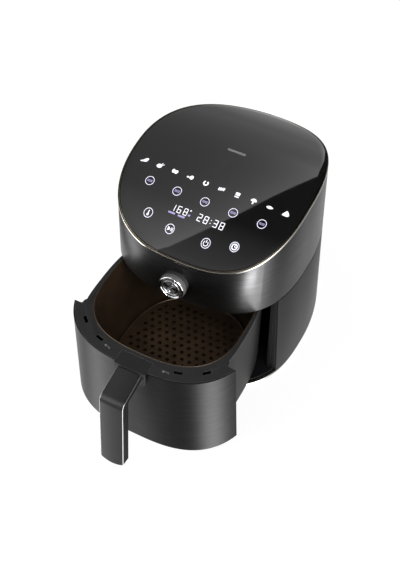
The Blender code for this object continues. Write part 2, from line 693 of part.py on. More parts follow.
def bent_line(start, corner, end, radius):
    """Points from start to end round a rounded corner, each with the direction out of the bend."""
    to_start = (start - corner).normalized()
    to_end = (end - corner).normalized()
    half = to_start.angle(to_end) / 2.0
    centre = corner + (to_start + to_end).normalized() * (radius / math.sin(half))
    reach = radius / math.tan(half)
    first = (corner + to_start * reach - centre).normalized()
    last = (corner + to_end * reach - centre).normalized()
    steps = 8
    line = [(start, first)]
    for index in range(steps + 1):
        outward = first.lerp(last, index / steps).normalized()
        line.append((centre + outward * radius, outward))
    line.append((end, last))
    return line


def handle_line(depth):
    """The handle's outer line in (y, z), moved inwards, its arm flat against the bracket."""
    start = Vector((BRACKET_FRONT_Y - GAP, RIM_TOP - 0.0043))
    corner = Vector((FRONT_Y - HANDLE_REACH, RIM_TOP - 0.0163))
    end = Vector((FRONT_Y - HANDLE_REACH - HANDLE_LEAN, HANDLE_END))
    line = bent_line(start, corner, end, HANDLE_BEND)
    upright = Vector((0.0, 1.0 / line[0][1][1]))
    return [start - upright * depth] + [point - outward * depth for point, outward in line[1:]]


def handle_back():
    """The line along the back of the handle, with its own small bend."""
    arm, grip = handle_line(HANDLE_ARM_DEPTH), handle_line(HANDLE_GRIP_DEPTH)
    under_arm, behind_grip = arm[0].lerp(arm[1], 4.0), grip[-1].lerp(grip[-2], 4.0)
    corner = intersect_line_line_2d(arm[0], under_arm, grip[-1], behind_grip)
    return [point for point, _ in bent_line(arm[0], corner, grip[-1], HANDLE_INNER_BEND)]


def handle_section(near, back):
    """Flat outline from the handle's outer line, moved in by near, to a line behind it."""
    return [tuple(point) for point in handle_line(near) + back[::-1]]


def build_handle(drawer):
    cover_x = HANDLE_HALF_X - HANDLE_TRIM - GAP
    skin = handle_section(0.0, handle_line(HANDLE_COVER))
    prism("handle_cover", skin, "X", -cover_x, cover_x, "satin_black", drawer)
    core = handle_section(HANDLE_COVER + GAP, handle_back())
    prism("handle_core", core, "X", -HANDLE_HALF_X, HANDLE_HALF_X, "matte_black", drawer)
    for side, sign in (("left", -1.0), ("right", 1.0)):
        low, high = sorted((sign * (HANDLE_HALF_X - HANDLE_TRIM), sign * HANDLE_HALF_X))
        prism(f"handle_trim_{side}", skin, "X", low, high, "chrome", drawer)

    low = RIM_TOP - RIM_THICK
    section = [(BRACKET_FRONT_Y, BRACKET_BOTTOM), (BRACKET_INNER_Y, BRACKET_BOTTOM),
               (BRACKET_INNER_Y, low), (BRACKET_BACK_Y, low), (BRACKET_BACK_Y, RIM_TOP),
               (BRACKET_FRONT_Y, RIM_TOP)]
    prism("handle_bracket", section, "X", -BRACKET_HALF_X, BRACKET_HALF_X, "matte_black", drawer)
    for side, x in (("left", -SCREW_X), ("right", SCREW_X)):
        screw = turned(f"handle_screw_{side}", [(0.0038, 0.0), (0.0038, 0.0018), (0.0026, 0.0028)],
                       "sheet_steel", 16, drawer)
        screw.rotation_euler = (math.radians(-90.0), 0.0, 0.0)
        screw.location = (x, BRACKET_INNER_Y + GAP, SCREW_Z)


def build_crisper(drawer):
    """Perforated plate that lies in the basket on four silicone bumpers."""
    lift = empty("crisper_axis", (0.0, 0.0, 0.0), drawer)
    outline = drawer_plan(BASKET_PLAN, CRISPER_INSET)
    plate = prism("crisper_plate", outline, "Z", CRISPER_BOTTOM, CRISPER_TOP, "non_stick", lift)
    bm = bmesh.new()
    for row in range(-3, 4):
        for column in range(-3, 4):
            x = CRISPER_PITCH * (column + 0.5 * (row % 2))
            y = CRISPER_ROW_PITCH * row
            if math.hypot(x, y) < CRISPER_REACH and (row or column):
                place = Matrix.Translation((x, y + CRISPER_MIDDLE_Y, CRISPER_BOTTOM))
                bmesh.ops.create_cone(bm, cap_ends=True, segments=8, radius1=CRISPER_HOLE,
                                      radius2=CRISPER_HOLE, depth=0.02, matrix=place)
    cut(plate, finish_mesh("plate_holes", bm, None, lift))
    bumper = [(0.0035, 0.0254), (0.0045, 0.0262), (0.0045, CRISPER_BOTTOM - GAP)]
    for number, centre in enumerate(BUMPERS, 1):
        turned(f"plate_bumper_{number}", bumper, "silicone", 12, lift, centre)


def main():
    clear_scene()
    build_base()
    build_lower_housing()
    build_cavity()
    build_safety_switch()
    build_cord_gland()
    build_upper_housing()
    build_top()
    build_deck()
    build_knob_seat()
    build_knob()
    build_head()
    build_heating_element()
    build_fan_drive()
    build_electronics()
    drawer = empty("drawer_axis", (0.0, -DRAWER_OUT, 0.0))
    build_pan(drawer)
    build_basket(drawer)
    build_rim(drawer)
    build_front(drawer)
    build_handle(drawer)
    build_crisper(drawer)
    assembly = empty("assembly", (0.0, ASSEMBLY_Y, 0.0))
    for item in list(bpy.data.objects):
        if item.parent is None and item is not assembly:
            item.parent = assembly


main()
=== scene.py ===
"""Looks of the air fryer: fine surfaces, materials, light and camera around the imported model.

Metres, apart from the profiles given to mm(). +Z up, front towards -Y. Plan outlines are worked out
from the middle of the body, and HOUSING_Y or DRAWER_Y then moves them to where the frame has the
housing or the open drawer.
"""
import json
import math

import bmesh
import bpy
from mathutils import Matrix, Vector
from mathutils.geometry import intersect_line_line_2d


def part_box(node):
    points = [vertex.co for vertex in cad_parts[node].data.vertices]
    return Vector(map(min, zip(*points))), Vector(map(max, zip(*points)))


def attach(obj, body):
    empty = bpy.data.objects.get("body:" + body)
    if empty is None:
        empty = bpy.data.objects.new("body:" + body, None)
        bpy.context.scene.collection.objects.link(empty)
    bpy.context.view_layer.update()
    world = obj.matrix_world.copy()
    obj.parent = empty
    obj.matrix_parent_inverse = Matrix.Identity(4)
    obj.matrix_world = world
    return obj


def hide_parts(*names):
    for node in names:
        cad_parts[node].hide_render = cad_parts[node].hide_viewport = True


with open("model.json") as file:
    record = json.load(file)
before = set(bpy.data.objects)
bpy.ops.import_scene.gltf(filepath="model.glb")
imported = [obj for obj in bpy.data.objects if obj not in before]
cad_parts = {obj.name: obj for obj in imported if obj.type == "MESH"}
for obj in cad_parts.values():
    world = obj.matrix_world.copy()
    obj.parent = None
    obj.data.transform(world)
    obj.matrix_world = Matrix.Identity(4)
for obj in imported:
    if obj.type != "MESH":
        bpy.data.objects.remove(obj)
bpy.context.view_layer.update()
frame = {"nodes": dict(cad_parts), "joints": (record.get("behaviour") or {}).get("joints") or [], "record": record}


def heights(node):
    """Bottom and top of a CAD node."""
    low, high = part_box(node)
    return low.z, high.z


# ---- driving dimensions
GAP = 0.0003
HALF_WIDTH, FRONT_DEPTH, BACK_DEPTH, WIDEST_Y = 0.140, 0.1425, 0.1925, -0.025
FRONT_Y, BACK_Y = WIDEST_Y - FRONT_DEPTH, WIDEST_Y + BACK_DEPTH
FRONT_POWER, BACK_POWER = 2.8, 2.0
TAPER, TAPER_Z = -0.18, 0.20
TOP_PLAN_Z = 0.27
TOP_CREST, TOP_CURVE = 0.3145, 2.0
WALL = 0.0025
BASE_RING_WIDTH = 0.003
FLOOR_INSET = 0.0052
GLAND_HOLE = 0.0075
FAN_OPENING = 0.0885
PLUNGER_HOLE = 0.0028
RAIL_CORNER = 0.0036
JAMB_GROOVE, JAMB_GROOVE_DEPTH = (0.0062, 0.0073), 0.0009
TOP_RING_WIDTH = 0.0028
GLASS_DEPTH, GLASS_THICK = 0.0004, 0.0030     # below the nominal top, and through the sheet
UPPER_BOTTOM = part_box("upper_housing")[0].z
LOWER_BOTTOM, LOWER_TOP = heights("lower_housing")
BASE_BOTTOM, BASE_TOP = heights("base_trim_ring")
FLOOR_BOTTOM, FLOOR_TOP = heights("cavity_floor")
RIM_BOTTOM, RIM_TOP = heights("drawer_rim")
PANEL_BOTTOM, PANEL_TOP = heights("drawer_front_panel")
PANEL_THICK, SHELL_THICK = 0.0015, 0.0025
PANEL_BACK_Y = -0.1045
JAMB_Y = PANEL_BACK_Y + 0.0015
JAMB_DEPTH = 0.003
OPENING_HALF_X = 0.119
# Pan, basket and cavity plans: half width, front depth, back depth, widest line, powers of the two halves
PAN_PLAN = (0.1170, 0.092, 0.155, -0.060, 3.2, 2.6)
BASKET_PLAN = (0.1108, 0.0971, 0.1346, -0.045, 2.7, 2.6)
LINER_PLAN = (0.1192, 0.2000, 0.159, -0.060, 3.2, 2.6)
SHEET, LINER_SHEET = 0.0015, 0.0012
RIM_SLOT = (0.0130, 0.0050)
RIM_SLOT_PLACES = ((0.0973, -0.1270, 43.0), (0.0628, -0.1455, 17.0))
RIM_SEAM, SEAM_WIDTH, SEAM_DEPTH = ((0.1125, -0.1024), (0.1009, -0.1207)), 0.0010, 0.0012
LOCK_MARK, LOCK_MARK_TURN = (0.0463, -0.1527), 12.0
RIM_BACK_Y = -0.096            # where the rim's edge starts to follow the pan
BRACKET_HALF_X = 0.0245
BRACKET_FRONT_Y = FRONT_Y - 0.0038
BRACKET_INNER_Y = FRONT_Y + 0.0100
BRACKET_BACK_Y = FRONT_Y + 0.0190
BRACKET_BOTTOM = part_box("handle_bracket")[0].z
HANDLE_HALF_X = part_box("handle_core")[1].x
HANDLE_TRIM = 0.0008
HANDLE_COVER = 0.0024
HANDLE_REACH, HANDLE_LEAN, HANDLE_BEND = 0.0546, 0.0150, 0.013
HANDLE_INNER_BEND, HANDLE_ARM_DEPTH, HANDLE_GRIP_DEPTH = 0.004, 0.0135, 0.0175
HANDLE_START_DROP, HANDLE_CORNER_DROP = 0.0043, 0.0163     # below the rim's top
HANDLE_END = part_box("handle_cover")[0].z
END_CURVE = 0.0045
TURN_STEPS = 96
VENT_COUNT, VENT_PITCH, VENT_Z = 6, 0.008, 0.196
VENT_HALF_X, VENT_HEIGHT = 0.034, 0.0035
INTAKE_COUNT, INTAKE_PITCH, INTAKE_Y = 5, 0.009, 0.085
INTAKE_SLOT = (0.060, 0.004)
CRISPER_INSET, CRISPER_LIP = 0.0108 + SHEET + 0.0022, 0.0024
HOLE_RADIUS, HOLE_PITCH, HOLE_CENTRE_Y, HOLE_MARGIN = 0.0032, 0.0130, -0.028, 0.026
# Marks on the glass, measured from the middle of the body
FOOD_PITCH, FOOD_Y, FOOD_SIZE = 0.0248, -0.0556, 0.0098
KEY_PITCH, KEY_Y, KEY_RADIUS, KEY_WIDTH = 0.0441, -0.0819, 0.0067, 0.00085
HEAT_KEY, PLAY_KEY, POWER_KEY, TIMER_KEY = ((-0.0678, -0.1231), (-0.0282, -0.1321),
                                            (0.0282, -0.1321), (0.0678, -0.1231))
DISPLAY_Y, DIGIT_PITCH = -0.1046, 0.0097

JOINTS = {joint["name"]: joint for joint in frame["joints"]}
FAN_Y = -0.028
HOUSING_Y = JOINTS["fan_spin"]["pos_m"][1] - FAN_Y
DRAWER_Y = HOUSING_Y + JOINTS["drawer_slide"]["range_m"][0]

BODY_STEPS = 224
DRAWER_STEPS = 160

# Edge of the overhead card: -x of the directions on it is a cubic of y
CARD_EDGE = (0.2999, -0.0801, 0.0332, -0.0335)
ROOM = 0.04
STRIP_TURN = math.radians(-49.0)
BACKWARD = Matrix.Rotation(math.radians(-90.0), 4, "X")
CAMERA_TURN = (0.50187, 0.89072, -0.00841)     # azimuth, elevation and roll
CAMERA_PLACE = (0.48464, HOUSING_Y - 0.98118, 1.38011)
CAMERA_LENS = 67.34
WHITE, WARM = (1.0, 1.0, 1.0), (1.0, 0.84, 0.66)


# ---- outlines
def plan_scale(z):
    return 1.0 + TAPER * (z - TAPER_Z)


def body_shape(z):
    scale = plan_scale(z)
    return (HALF_WIDTH * scale, FRONT_DEPTH * scale, BACK_DEPTH * scale, WIDEST_Y * scale,
            FRONT_POWER, BACK_POWER)


def plan_point(shape, inset, angle):
    """Point of a two-part superellipse, seen from its widest line's middle at this angle."""
    half_x, front, back, centre_y, front_power, back_power = shape
    cosine, sine = math.cos(angle), math.sin(angle)
    depth, power = (back, back_power) if sine > 0 else (front, front_power)
    reach = (abs(cosine) / (half_x - inset)) ** power + (abs(sine) / (depth - inset)) ** power
    radius = reach ** (-1.0 / power)
    return radius * cosine, centre_y + radius * sine


def full_turn(count):
    return [2.0 * math.pi * (index + 0.5) / count for index in range(count)]


def outline(shape, inset, count):
    return [plan_point(shape, inset, angle) for angle in full_turn(count)]


def crossing_angle(shape, inset, y_cut):
    """Angle on the +X side, in the front half, where the outline crosses y_cut."""
    low, high = -math.pi / 2.0, 0.0
    for _ in range(40):
        trial = (low + high) / 2.0
        if plan_point(shape, inset, trial)[1] < y_cut:
            low = trial
        else:
            high = trial
    return (low + high) / 2.0


def arc(shape, inset, y_cut, front, count):
    """Open stretch of the outline in front of y_cut, from -X to +X, or behind it, from +X to -X."""
    right = crossing_angle(shape, inset, y_cut)
    left = math.pi - right
    start, end = (left - 2.0 * math.pi, right) if front else (right, left)
    angles = [start + (end - start) * index / (count - 1) for index in range(count)]
    return [plan_point(shape, inset, angle) for angle in angles]


def top_height(y):
    """Height of the curved top, y measured from the middle of the body."""
    return TOP_CREST - TOP_CURVE * y * y


def rounded(points, radii, steps=4):
    """Closed flat polygon with rounded corners; radii is one number or one for each corner."""
    if not isinstance(radii, (list, tuple)):
        radii = [radii] * len(points)
    result = []
    for index, radius in enumerate(radii):
        here = Vector(points[index])
        before = (Vector(points[index - 1]) - here).normalized()
        after = (Vector(points[(index + 1) % len(points)]) - here).normalized()
        half = before.angle(after) / 2.0
        if radius <= 0.0 or half > 1.55:
            result.append(tuple(here))
            continue
        reach = radius / math.tan(half)
        centre = here + (before + after).normalized() * (radius / math.sin(half))
        first, last = here + before * reach - centre, here + after * reach - centre
        turn = first.angle_signed(last)
        for step in range(steps + 1):
            spoke = first.copy()
            spoke.rotate(Matrix.Rotation(-turn * step / steps, 2))
            result.append(tuple(centre + spoke))
    return result


def rectangle(left, low, right, high):
    return [(left, low), (right, low), (right, high), (left, high)]


def bar(x, y, width, height):
    """Rectangle about a middle point."""
    return rectangle(x - width / 2, y - height / 2, x + width / 2, y + height / 2)


def wall_section(inset, thick, low, high, radii, steps=4):
    """Cut through an upright wall, as a rounded polygon of (inset, z)."""
    corners = [(inset, low), (inset, high), (inset + thick, high), (inset + thick, low)]
    return rounded(corners, radii, steps)


# ---- meshes
def finish_mesh(name, bm, paint, sharp=35.0):
    bmesh.ops.recalc_face_normals(bm, faces=bm.faces)
    mesh = bpy.data.meshes.new(name)
    bm.to_mesh(mesh)
    bm.free()
    item = bpy.data.objects.new(name, mesh)
    smooth(item, sharp)
    if paint:
        mesh.materials.append(paint)
    bpy.context.scene.collection.objects.link(item)
    return item


def loft(name, loops, paint, closed=True, wrap=False, capped=False, sharp=35.0, tips=()):
    """Join loops of equal length. wrap joins the last to the first, capped fills both ends, and
    tips, one point for each end, closes them with fans.

    With closed False each loop is an open stretch, and wrap then also closes the two cut ends.
    """
    bm = bmesh.new()
    rows = [[bm.verts.new(point) for point in loop] for loop in loops]
    pairs = list(zip(rows, rows[1:])) + ([(rows[-1], rows[0])] if wrap else [])
    count = len(rows[0])
    for lower, upper in pairs:
        for index in range(count if closed else count - 1):
            after = (index + 1) % count
            bm.faces.new((lower[index], lower[after], upper[after], upper[index]))
    if capped:
        bm.faces.new(rows[0])
        bm.faces.new(rows[-1])
    for row, point in zip((rows[0], rows[-1]), tips):
        tip = bm.verts.new(point)
        for index in range(count):
            bm.faces.new((row[index], row[(index + 1) % count], tip))
    if wrap and not closed:
        bm.faces.new([row[0] for row in rows])
        bm.faces.new([row[-1] for row in rows])
    return finish_mesh(name, bm, paint, sharp)


def lift(points, z, shift_y):
    return [(x, y + shift_y, z) for x, y in points]


def stack(shape, levels, shift_y, count=DRAWER_STEPS):
    """The outline at each (inset, z)."""
    return [lift(outline(shape, inset, count), z, shift_y) for inset, z in levels]


def lift_to_top(points, depth):
    """Lift an outline to depth below the curved top, and move it to the housing's place."""
    return [(x, y + HOUSING_Y, top_height(y) - depth) for x, y in points]


def prism(name, points, low, high, shift_y, paint, edge=0.0, steps=3):
    """Upright prism of a flat outline, its upper and lower edges bevelled."""
    item = loft(name, [lift(points, z, shift_y) for z in (low, high)], paint, capped=True)
    if edge:
        bevel(item, edge, steps)
    return item


def bevel(item, width, steps=3, limit=50.0, sharp=60.0):
    """Round the edges, and let the large faces set the shading, so that no wall gets a tint."""
    modifier = item.modifiers.new("edge", "BEVEL")
    modifier.width = width
    modifier.segments = steps
    modifier.limit_method = "ANGLE"
    modifier.angle_limit = math.radians(limit)
    smooth(settle(item), sharp)
    modifier = item.modifiers.new("even", "WEIGHTED_NORMAL")
    modifier.keep_sharp = True
    settle(item)


def settle(item):
    """Apply the item's modifiers."""
    graph = bpy.context.evaluated_depsgraph_get()
    mesh = bpy.data.meshes.new_from_object(item.evaluated_get(graph))
    item.modifiers.clear()
    item.data = mesh
    return item


def smooth(item, sharp=35.0):
    item.data.shade_smooth()
    item.data.set_sharp_from_angle(angle=math.radians(sharp))


def combine(item, operation, *others):
    """Add the other pieces to the item or subtract them, and remove them."""
    for other in others:
        modifier = item.modifiers.new("combine", "BOOLEAN")
        modifier.operation = operation
        modifier.solver = "EXACT"
        modifier.object = other
    smooth(settle(item))
    for other in others:
        bpy.data.objects.remove(other, do_unlink=True)


def cut(item, *cutters):
    combine(item, "DIFFERENCE", *cutters)


def box_cutter(low, high):
    return prism("cutter", rectangle(low[0], low[1], high[0], high[1]), low[2], high[2], 0.0, None)


def mm(*points):
    """Points of a profile, given in millimetres."""
    return [(x / 1000.0, y / 1000.0) for x, y in points]


def circle(radius, count, centre=(0.0, 0.0)):
    steps = [2.0 * math.pi * index / count for index in range(count)]
    return [(centre[0] + radius * math.cos(t), centre[1] + radius * math.sin(t)) for t in steps]


def turned(name, profile, paint, matrix, ring=False, count=TURN_STEPS, sharp=35.0):
    """Turn a profile of (radius, height) about the matrix's Z. A ring's profile is closed."""
    loops = [[matrix @ Vector((x, y, z)) for x, y in circle(radius, count)] for radius, z in profile]
    return loft(name, loops, paint, wrap=ring, capped=not ring, sharp=sharp)


def bore(radius, low, high, matrix, count=TURN_STEPS):
    """Round cutter from low to high along the matrix's Z."""
    return turned("cutter", [(radius, low), (radius, high)], None, matrix, count=count)


def paint_rows(item, paint, count, rows):
    """Another material on these rows of faces, of count faces each, in a lofted piece."""
    item.data.materials.append(paint)
    for face in item.data.polygons:
        if face.index // count in rows:
            face.material_index = len(item.data.materials) - 1


def middle(node):
    """Middle of a CAD node's box."""
    low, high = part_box(node)
    return (low + high) / 2.0


def upright_at(node):
    """Places a piece turned about +Z over the middle of a node, with its heights kept."""
    spot = middle(node)
    return Matrix.Translation((spot.x, spot.y, 0.0))


def install(item, body, slot, *nodes):
    """The piece rides on a body and stands for these CAD nodes; slot is not used."""
    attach(item, body)
    if nodes:
        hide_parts(*nodes)
    return item


# ---- materials
class Paint:
    """A Principled material with its colour, roughness and bump built from noise."""

    def __init__(self, name, color, roughness, metallic=0.0, **sockets):
        self.material = bpy.data.materials.new(name)
        self.material.use_nodes = True
        self.tree = self.material.node_tree
        self.shader = self.tree.nodes["Principled BSDF"]
        self.color = color
        self.set("Base Color", (*color, 1.0))
        self.set("Roughness", roughness)
        self.set("Metallic", metallic)
        for socket, value in sockets.items():
            self.set(socket.replace("_", " "), value)
        self.height = None

    def set(self, socket, value):
        self.shader.inputs[socket].default_value = value

    def node(self, kind, inputs=None, **settings):
        made = self.tree.nodes.new("ShaderNode" + kind)
        for name, value in settings.items():
            setattr(made, name, value)
        for name, value in (inputs or {}).items():
            if isinstance(value, bpy.types.NodeSocket):
                self.tree.links.new(value, made.inputs[name])
            else:
                made.inputs[name].default_value = value
        return made

    def place(self, scale=(1.0, 1.0, 1.0)):
        """Object coordinates, which are metres, stretched by scale."""
        source = self.node("TexCoord").outputs["Object"]
        return self.node("Mapping", {"Vector": source, "Scale": scale}).outputs["Vector"]

    def noise(self, scale, detail=3.0, stretch=(1.0, 1.0, 1.0), rough=0.55):
        inputs = {"Vector": self.place(stretch), "Scale": scale, "Detail": detail, "Roughness": rough}
        return self.node("TexNoise", inputs).outputs["Fac"]

    def spread(self, value, low, high, start=0.3, end=0.7):
        inputs = {"Value": value, "From Min": start, "From Max": end, "To Min": low, "To Max": high}
        return self.node("MapRange", inputs).outputs["Result"]

    def vary_roughness(self, value, low, high, start=0.3, end=0.7):
        self.tree.links.new(self.spread(value, low, high, start, end), self.shader.inputs["Roughness"])

    def vary_color(self, value, other, start=0.3, end=0.7):
        """Blend from the base colour to another one as value goes from start to end."""
        mixer = self.node("Mix", data_type="RGBA")
        self.tree.links.new(self.spread(value, 0.0, 1.0, start, end), mixer.inputs[0])
        socket = self.shader.inputs["Base Color"]
        if socket.is_linked:
            self.tree.links.new(socket.links[0].from_socket, mixer.inputs[6])
        else:
            mixer.inputs[6].default_value = (*self.color, 1.0)
        mixer.inputs[7].default_value = (*other, 1.0)
        self.tree.links.new(mixer.outputs[2], socket)

    def tint(self, value, factor):
        """Blend towards the base colour times a factor."""
        self.vary_color(value, tuple(channel * factor for channel in self.color))

    def bump(self, value, distance, strength=1.0):
        inputs = {"Height": value, "Distance": distance, "Strength": strength}
        made = self.node("Bump", inputs)
        if self.height:
            self.tree.links.new(self.height, made.inputs["Normal"])
        self.height = made.outputs["Normal"]
        self.tree.links.new(self.height, self.shader.inputs["Normal"])

    def brushed(self, axis, amount):
        """Gloss of brush lines that run round an axis: highlights stretch across the lines."""
        tangent = self.node("Tangent", direction_type="RADIAL", axis=axis).outputs["Tangent"]
        self.tree.links.new(tangent, self.shader.inputs["Tangent"])
        self.set("Anisotropic", amount)
        self.set("Anisotropic Rotation", 0.25)


def wear_and_edge_highlight(paint, color, radius=0.0007, amount=0.5):
    """Lighter colour on every edge, broken up by noise: a painted highlight where light catches the edge, over
    slight rub wear.
    """
    bevelled = paint.node("Bevel", {"Radius": radius}, samples=4).outputs["Normal"]
    plain = paint.node("NewGeometry").outputs["Normal"]
    dot = paint.node("VectorMath", {0: bevelled, 1: plain}, operation="DOT_PRODUCT").outputs["Value"]
    broken = paint.node("Math", {0: dot, 1: paint.spread(paint.noise(900.0), 0.0, 0.06)}, operation="ADD")
    wear_and_highlight_color = tuple(a + (b - a) * amount for a, b in zip(paint.color, color))
    paint.vary_color(broken.outputs[0], wear_and_highlight_color, 0.995, 0.90)
    return paint.material


def black_steel_paint(name, tone):
    """Black stainless, brushed round the body."""
    paint = Paint(name, (tone, tone, tone * 1.02), 0.36, 1.0)
    fine = paint.noise(1.0, 2.0, (40.0, 40.0, 3300.0), 0.6)
    broad = paint.noise(1.0, 3.0, (30.0, 30.0, 1100.0), 0.65)
    paint.vary_color(broad, (tone * 1.5, tone * 1.5, tone * 1.52), 0.40, 0.66)
    paint.vary_roughness(fine, 0.30, 0.42)
    paint.bump(fine, 0.00002, 0.4)
    paint.brushed("Z", 0.6)
    return paint.material


def moulded_paint(name, color, roughness, grain=0.00002, scale=2600.0, spread=0.08, **sockets):
    """Moulded plastic with a fine spark-eroded grain and slight cloudiness."""
    paint = Paint(name, color, roughness, 0.0, **sockets)
    fine = paint.noise(scale, 2.0)
    cloud = paint.noise(22.0, 4.0)
    paint.tint(cloud, 1.25)
    paint.vary_roughness(fine, roughness - spread, roughness + spread)
    paint.bump(fine, grain, 0.6)
    return paint


def glass_paint():
    paint = Paint("black_glass_fine", (0.010, 0.010, 0.0105), 0.03, 0.0, IOR=1.52)
    smudge = paint.noise(16.0, 5.0, (1.0, 1.6, 1.0), 0.62)
    paint.vary_roughness(smudge, 0.012, 0.03, 0.45, 0.75)
    paint.vary_color(paint.noise(2400.0, 1.0), (0.03, 0.03, 0.031), 0.74, 0.82)
    return paint.material


def metal_paint(name, color, roughness, streak=(1.0, 1.0, 1.0), spread=0.06, dull=0.86):
    """Polished or drawn metal with faint streaks and scratches."""
    paint = Paint(name, color, roughness, 1.0)
    fine = paint.noise(1400.0, 3.0, streak)
    paint.vary_roughness(fine, max(0.03, roughness - spread), roughness + spread)
    paint.tint(paint.noise(60.0, 3.0), dull)
    paint.bump(fine, 0.000008, 0.4)
    return paint


def spun_paint():
    """Spun face: fine rings about the knob's own axis."""
    paint = Paint("spun_face", (0.60, 0.60, 0.61), 0.30, 1.0)
    source = paint.node("TexCoord").outputs["Object"]
    centre = -Vector(JOINTS["knob_turn"]["pos_m"])
    place = paint.node("Mapping", {"Vector": source, "Location": centre})
    rings = paint.node("TexWave", {"Vector": place.outputs["Vector"], "Scale": 900.0,
                                   "Distortion": 0.6, "Detail": 2.0},
                       wave_type="RINGS", rings_direction="SPHERICAL")
    paint.vary_roughness(rings.outputs["Fac"], 0.24, 0.34, 0.0, 1.0)
    paint.bump(rings.outputs["Fac"], 0.000006, 0.3)
    paint.brushed("Y", 0.92)
    return paint.material


def non_stick_paint():
    """Dark coating with fine flecks; its warm cast is painted light, standing for warm light bounced into the
    basket.
    """
    paint = Paint("non_stick_fine", (0.020, 0.0145, 0.011), 0.36, 0.35, Coat_Weight=0.15,
                  Coat_Roughness=0.3)
    fleck = paint.noise(1500.0, 1.0)
    cloud = paint.noise(34.0, 4.0)
    paint.vary_color(cloud, (0.030, 0.020, 0.013))
    paint.vary_color(fleck, (0.075, 0.062, 0.050), 0.70, 0.76)
    paint.vary_roughness(cloud, 0.30, 0.44)
    paint.bump(paint.noise(700.0, 2.0), 0.00003, 0.4)
    return paint.material


def enamel_paint():
    paint = Paint("dark_enamel_fine", (0.018, 0.018, 0.019), 0.42, 0.0)
    cloud = paint.noise(40.0, 4.0)
    paint.vary_color(cloud, (0.026, 0.025, 0.025))
    paint.vary_color(paint.noise(1900.0, 1.0), (0.08, 0.08, 0.08), 0.72, 0.78)
    paint.vary_roughness(cloud, 0.34, 0.50)
    paint.bump(paint.noise(420.0, 3.0), 0.00005, 0.4)
    return paint.material


def rubber_paint(name, color):
    paint = Paint(name, color, 0.78, 0.0, Specular_IOR_Level=0.35)
    fine = paint.noise(1800.0, 3.0)
    paint.vary_roughness(fine, 0.70, 0.88)
    paint.tint(paint.noise(130.0, 4.0), 1.6)
    paint.bump(fine, 0.00004, 0.6)
    return paint.material


def board_paint():
    """Circuit board: green lacquer over a faint pattern of tracks."""
    paint = Paint("circuit_board_fine", (0.012, 0.105, 0.045), 0.36)
    cells = paint.node("TexVoronoi", {"Vector": paint.place(), "Scale": 260.0, "Randomness": 0.35},
                       feature="DISTANCE_TO_EDGE", distance="CHEBYCHEV")
    paint.vary_color(cells.outputs["Distance"], (0.03, 0.19, 0.09), 0.10, 0.06)
    paint.vary_color(paint.noise(500.0, 1.0), (0.55, 0.42, 0.16), 0.72, 0.75)
    paint.vary_roughness(paint.noise(90.0), 0.28, 0.44)
    paint.bump(cells.outputs["Distance"], 0.00004, 0.4)
    return paint.material


def lit_paint(name, color, strength):
    """Lit print on the glass: slightly uneven, as light spread by a printed diffuser."""
    paint = Paint(name, color, 0.4)
    even = paint.spread(paint.noise(500.0, 2.0), 0.82 * strength, strength)
    paint.tree.links.new(even, paint.shader.inputs["Emission Strength"])
    paint.set("Emission Color", (*color, 1.0))
    return paint.material


def printed_paint(name, color):
    paint = Paint(name, color, 0.45)
    paint.tint(paint.noise(1500.0, 2.0), 0.8)
    paint.vary_roughness(paint.noise(900.0), 0.38, 0.52)
    return paint.material


def satin_paint(name, tone, roughness, level, grain=0.000012, cast=0.0002):
    """Smooth dark plastic; level is how strongly it reflects."""
    color = (tone, tone, tone + cast)
    return moulded_paint(name, color, roughness, grain, 3000.0, 0.06, Specular_IOR_Level=level).material


# One black stainless in two tones: the band's copy painted lighter as painted highlight, the drawer front's darker
# as painted shade.
BLACK_STEEL_LIGHTER = black_steel_paint("black_stainless", 0.072)
DRAWER_STEEL_DARKER = black_steel_paint("black_stainless_drawer", 0.040)
SATIN = satin_paint("satin_black_fine", 0.013, 0.42, 0.36)
HANDLE_SATIN = satin_paint("handle_satin", 0.016, 0.38, 0.42, 0.000010)
HANDLE_DARK = satin_paint("handle_dark", 0.008, 0.58, 0.14)
PAN_SATIN = satin_paint("pan_satin", 0.010, 0.44, 0.22)
# The knob's grip is the body's satin black painted lighter: painted light falling on the grip.
KNOB_SATIN_LIGHTER = satin_paint("knob_satin", 0.050, 0.46, 0.45, cast=0.0005)
# The rails are grey plastic, painted near black as the shade inside the cavity.
RAIL_PAINTED_SHADE = moulded_paint("rail_dark", (0.010, 0.010, 0.0102), 0.55, Specular_IOR_Level=0.25).material
# Light grey for the bevel along the rim's top: a painted highlight of the edge.
RIM_EDGE_HIGHLIGHT = moulded_paint("polished_edge", (0.16, 0.16, 0.162), 0.24, 0.000004, 3000.0, 0.05).material
# Matte black with its edges painted lighter: painted highlight along the edges, over slight rub wear.
MATTE = wear_and_edge_highlight(moulded_paint("matte_black_fine", (0.016, 0.016, 0.0162), 0.52, Specular_IOR_Level=0.34),
             (0.22, 0.22, 0.22))
GLASS = glass_paint()
CHAMPAGNE = metal_paint("champagne_fine", (0.84, 0.80, 0.72), 0.13, spread=0.03, dull=0.95).material
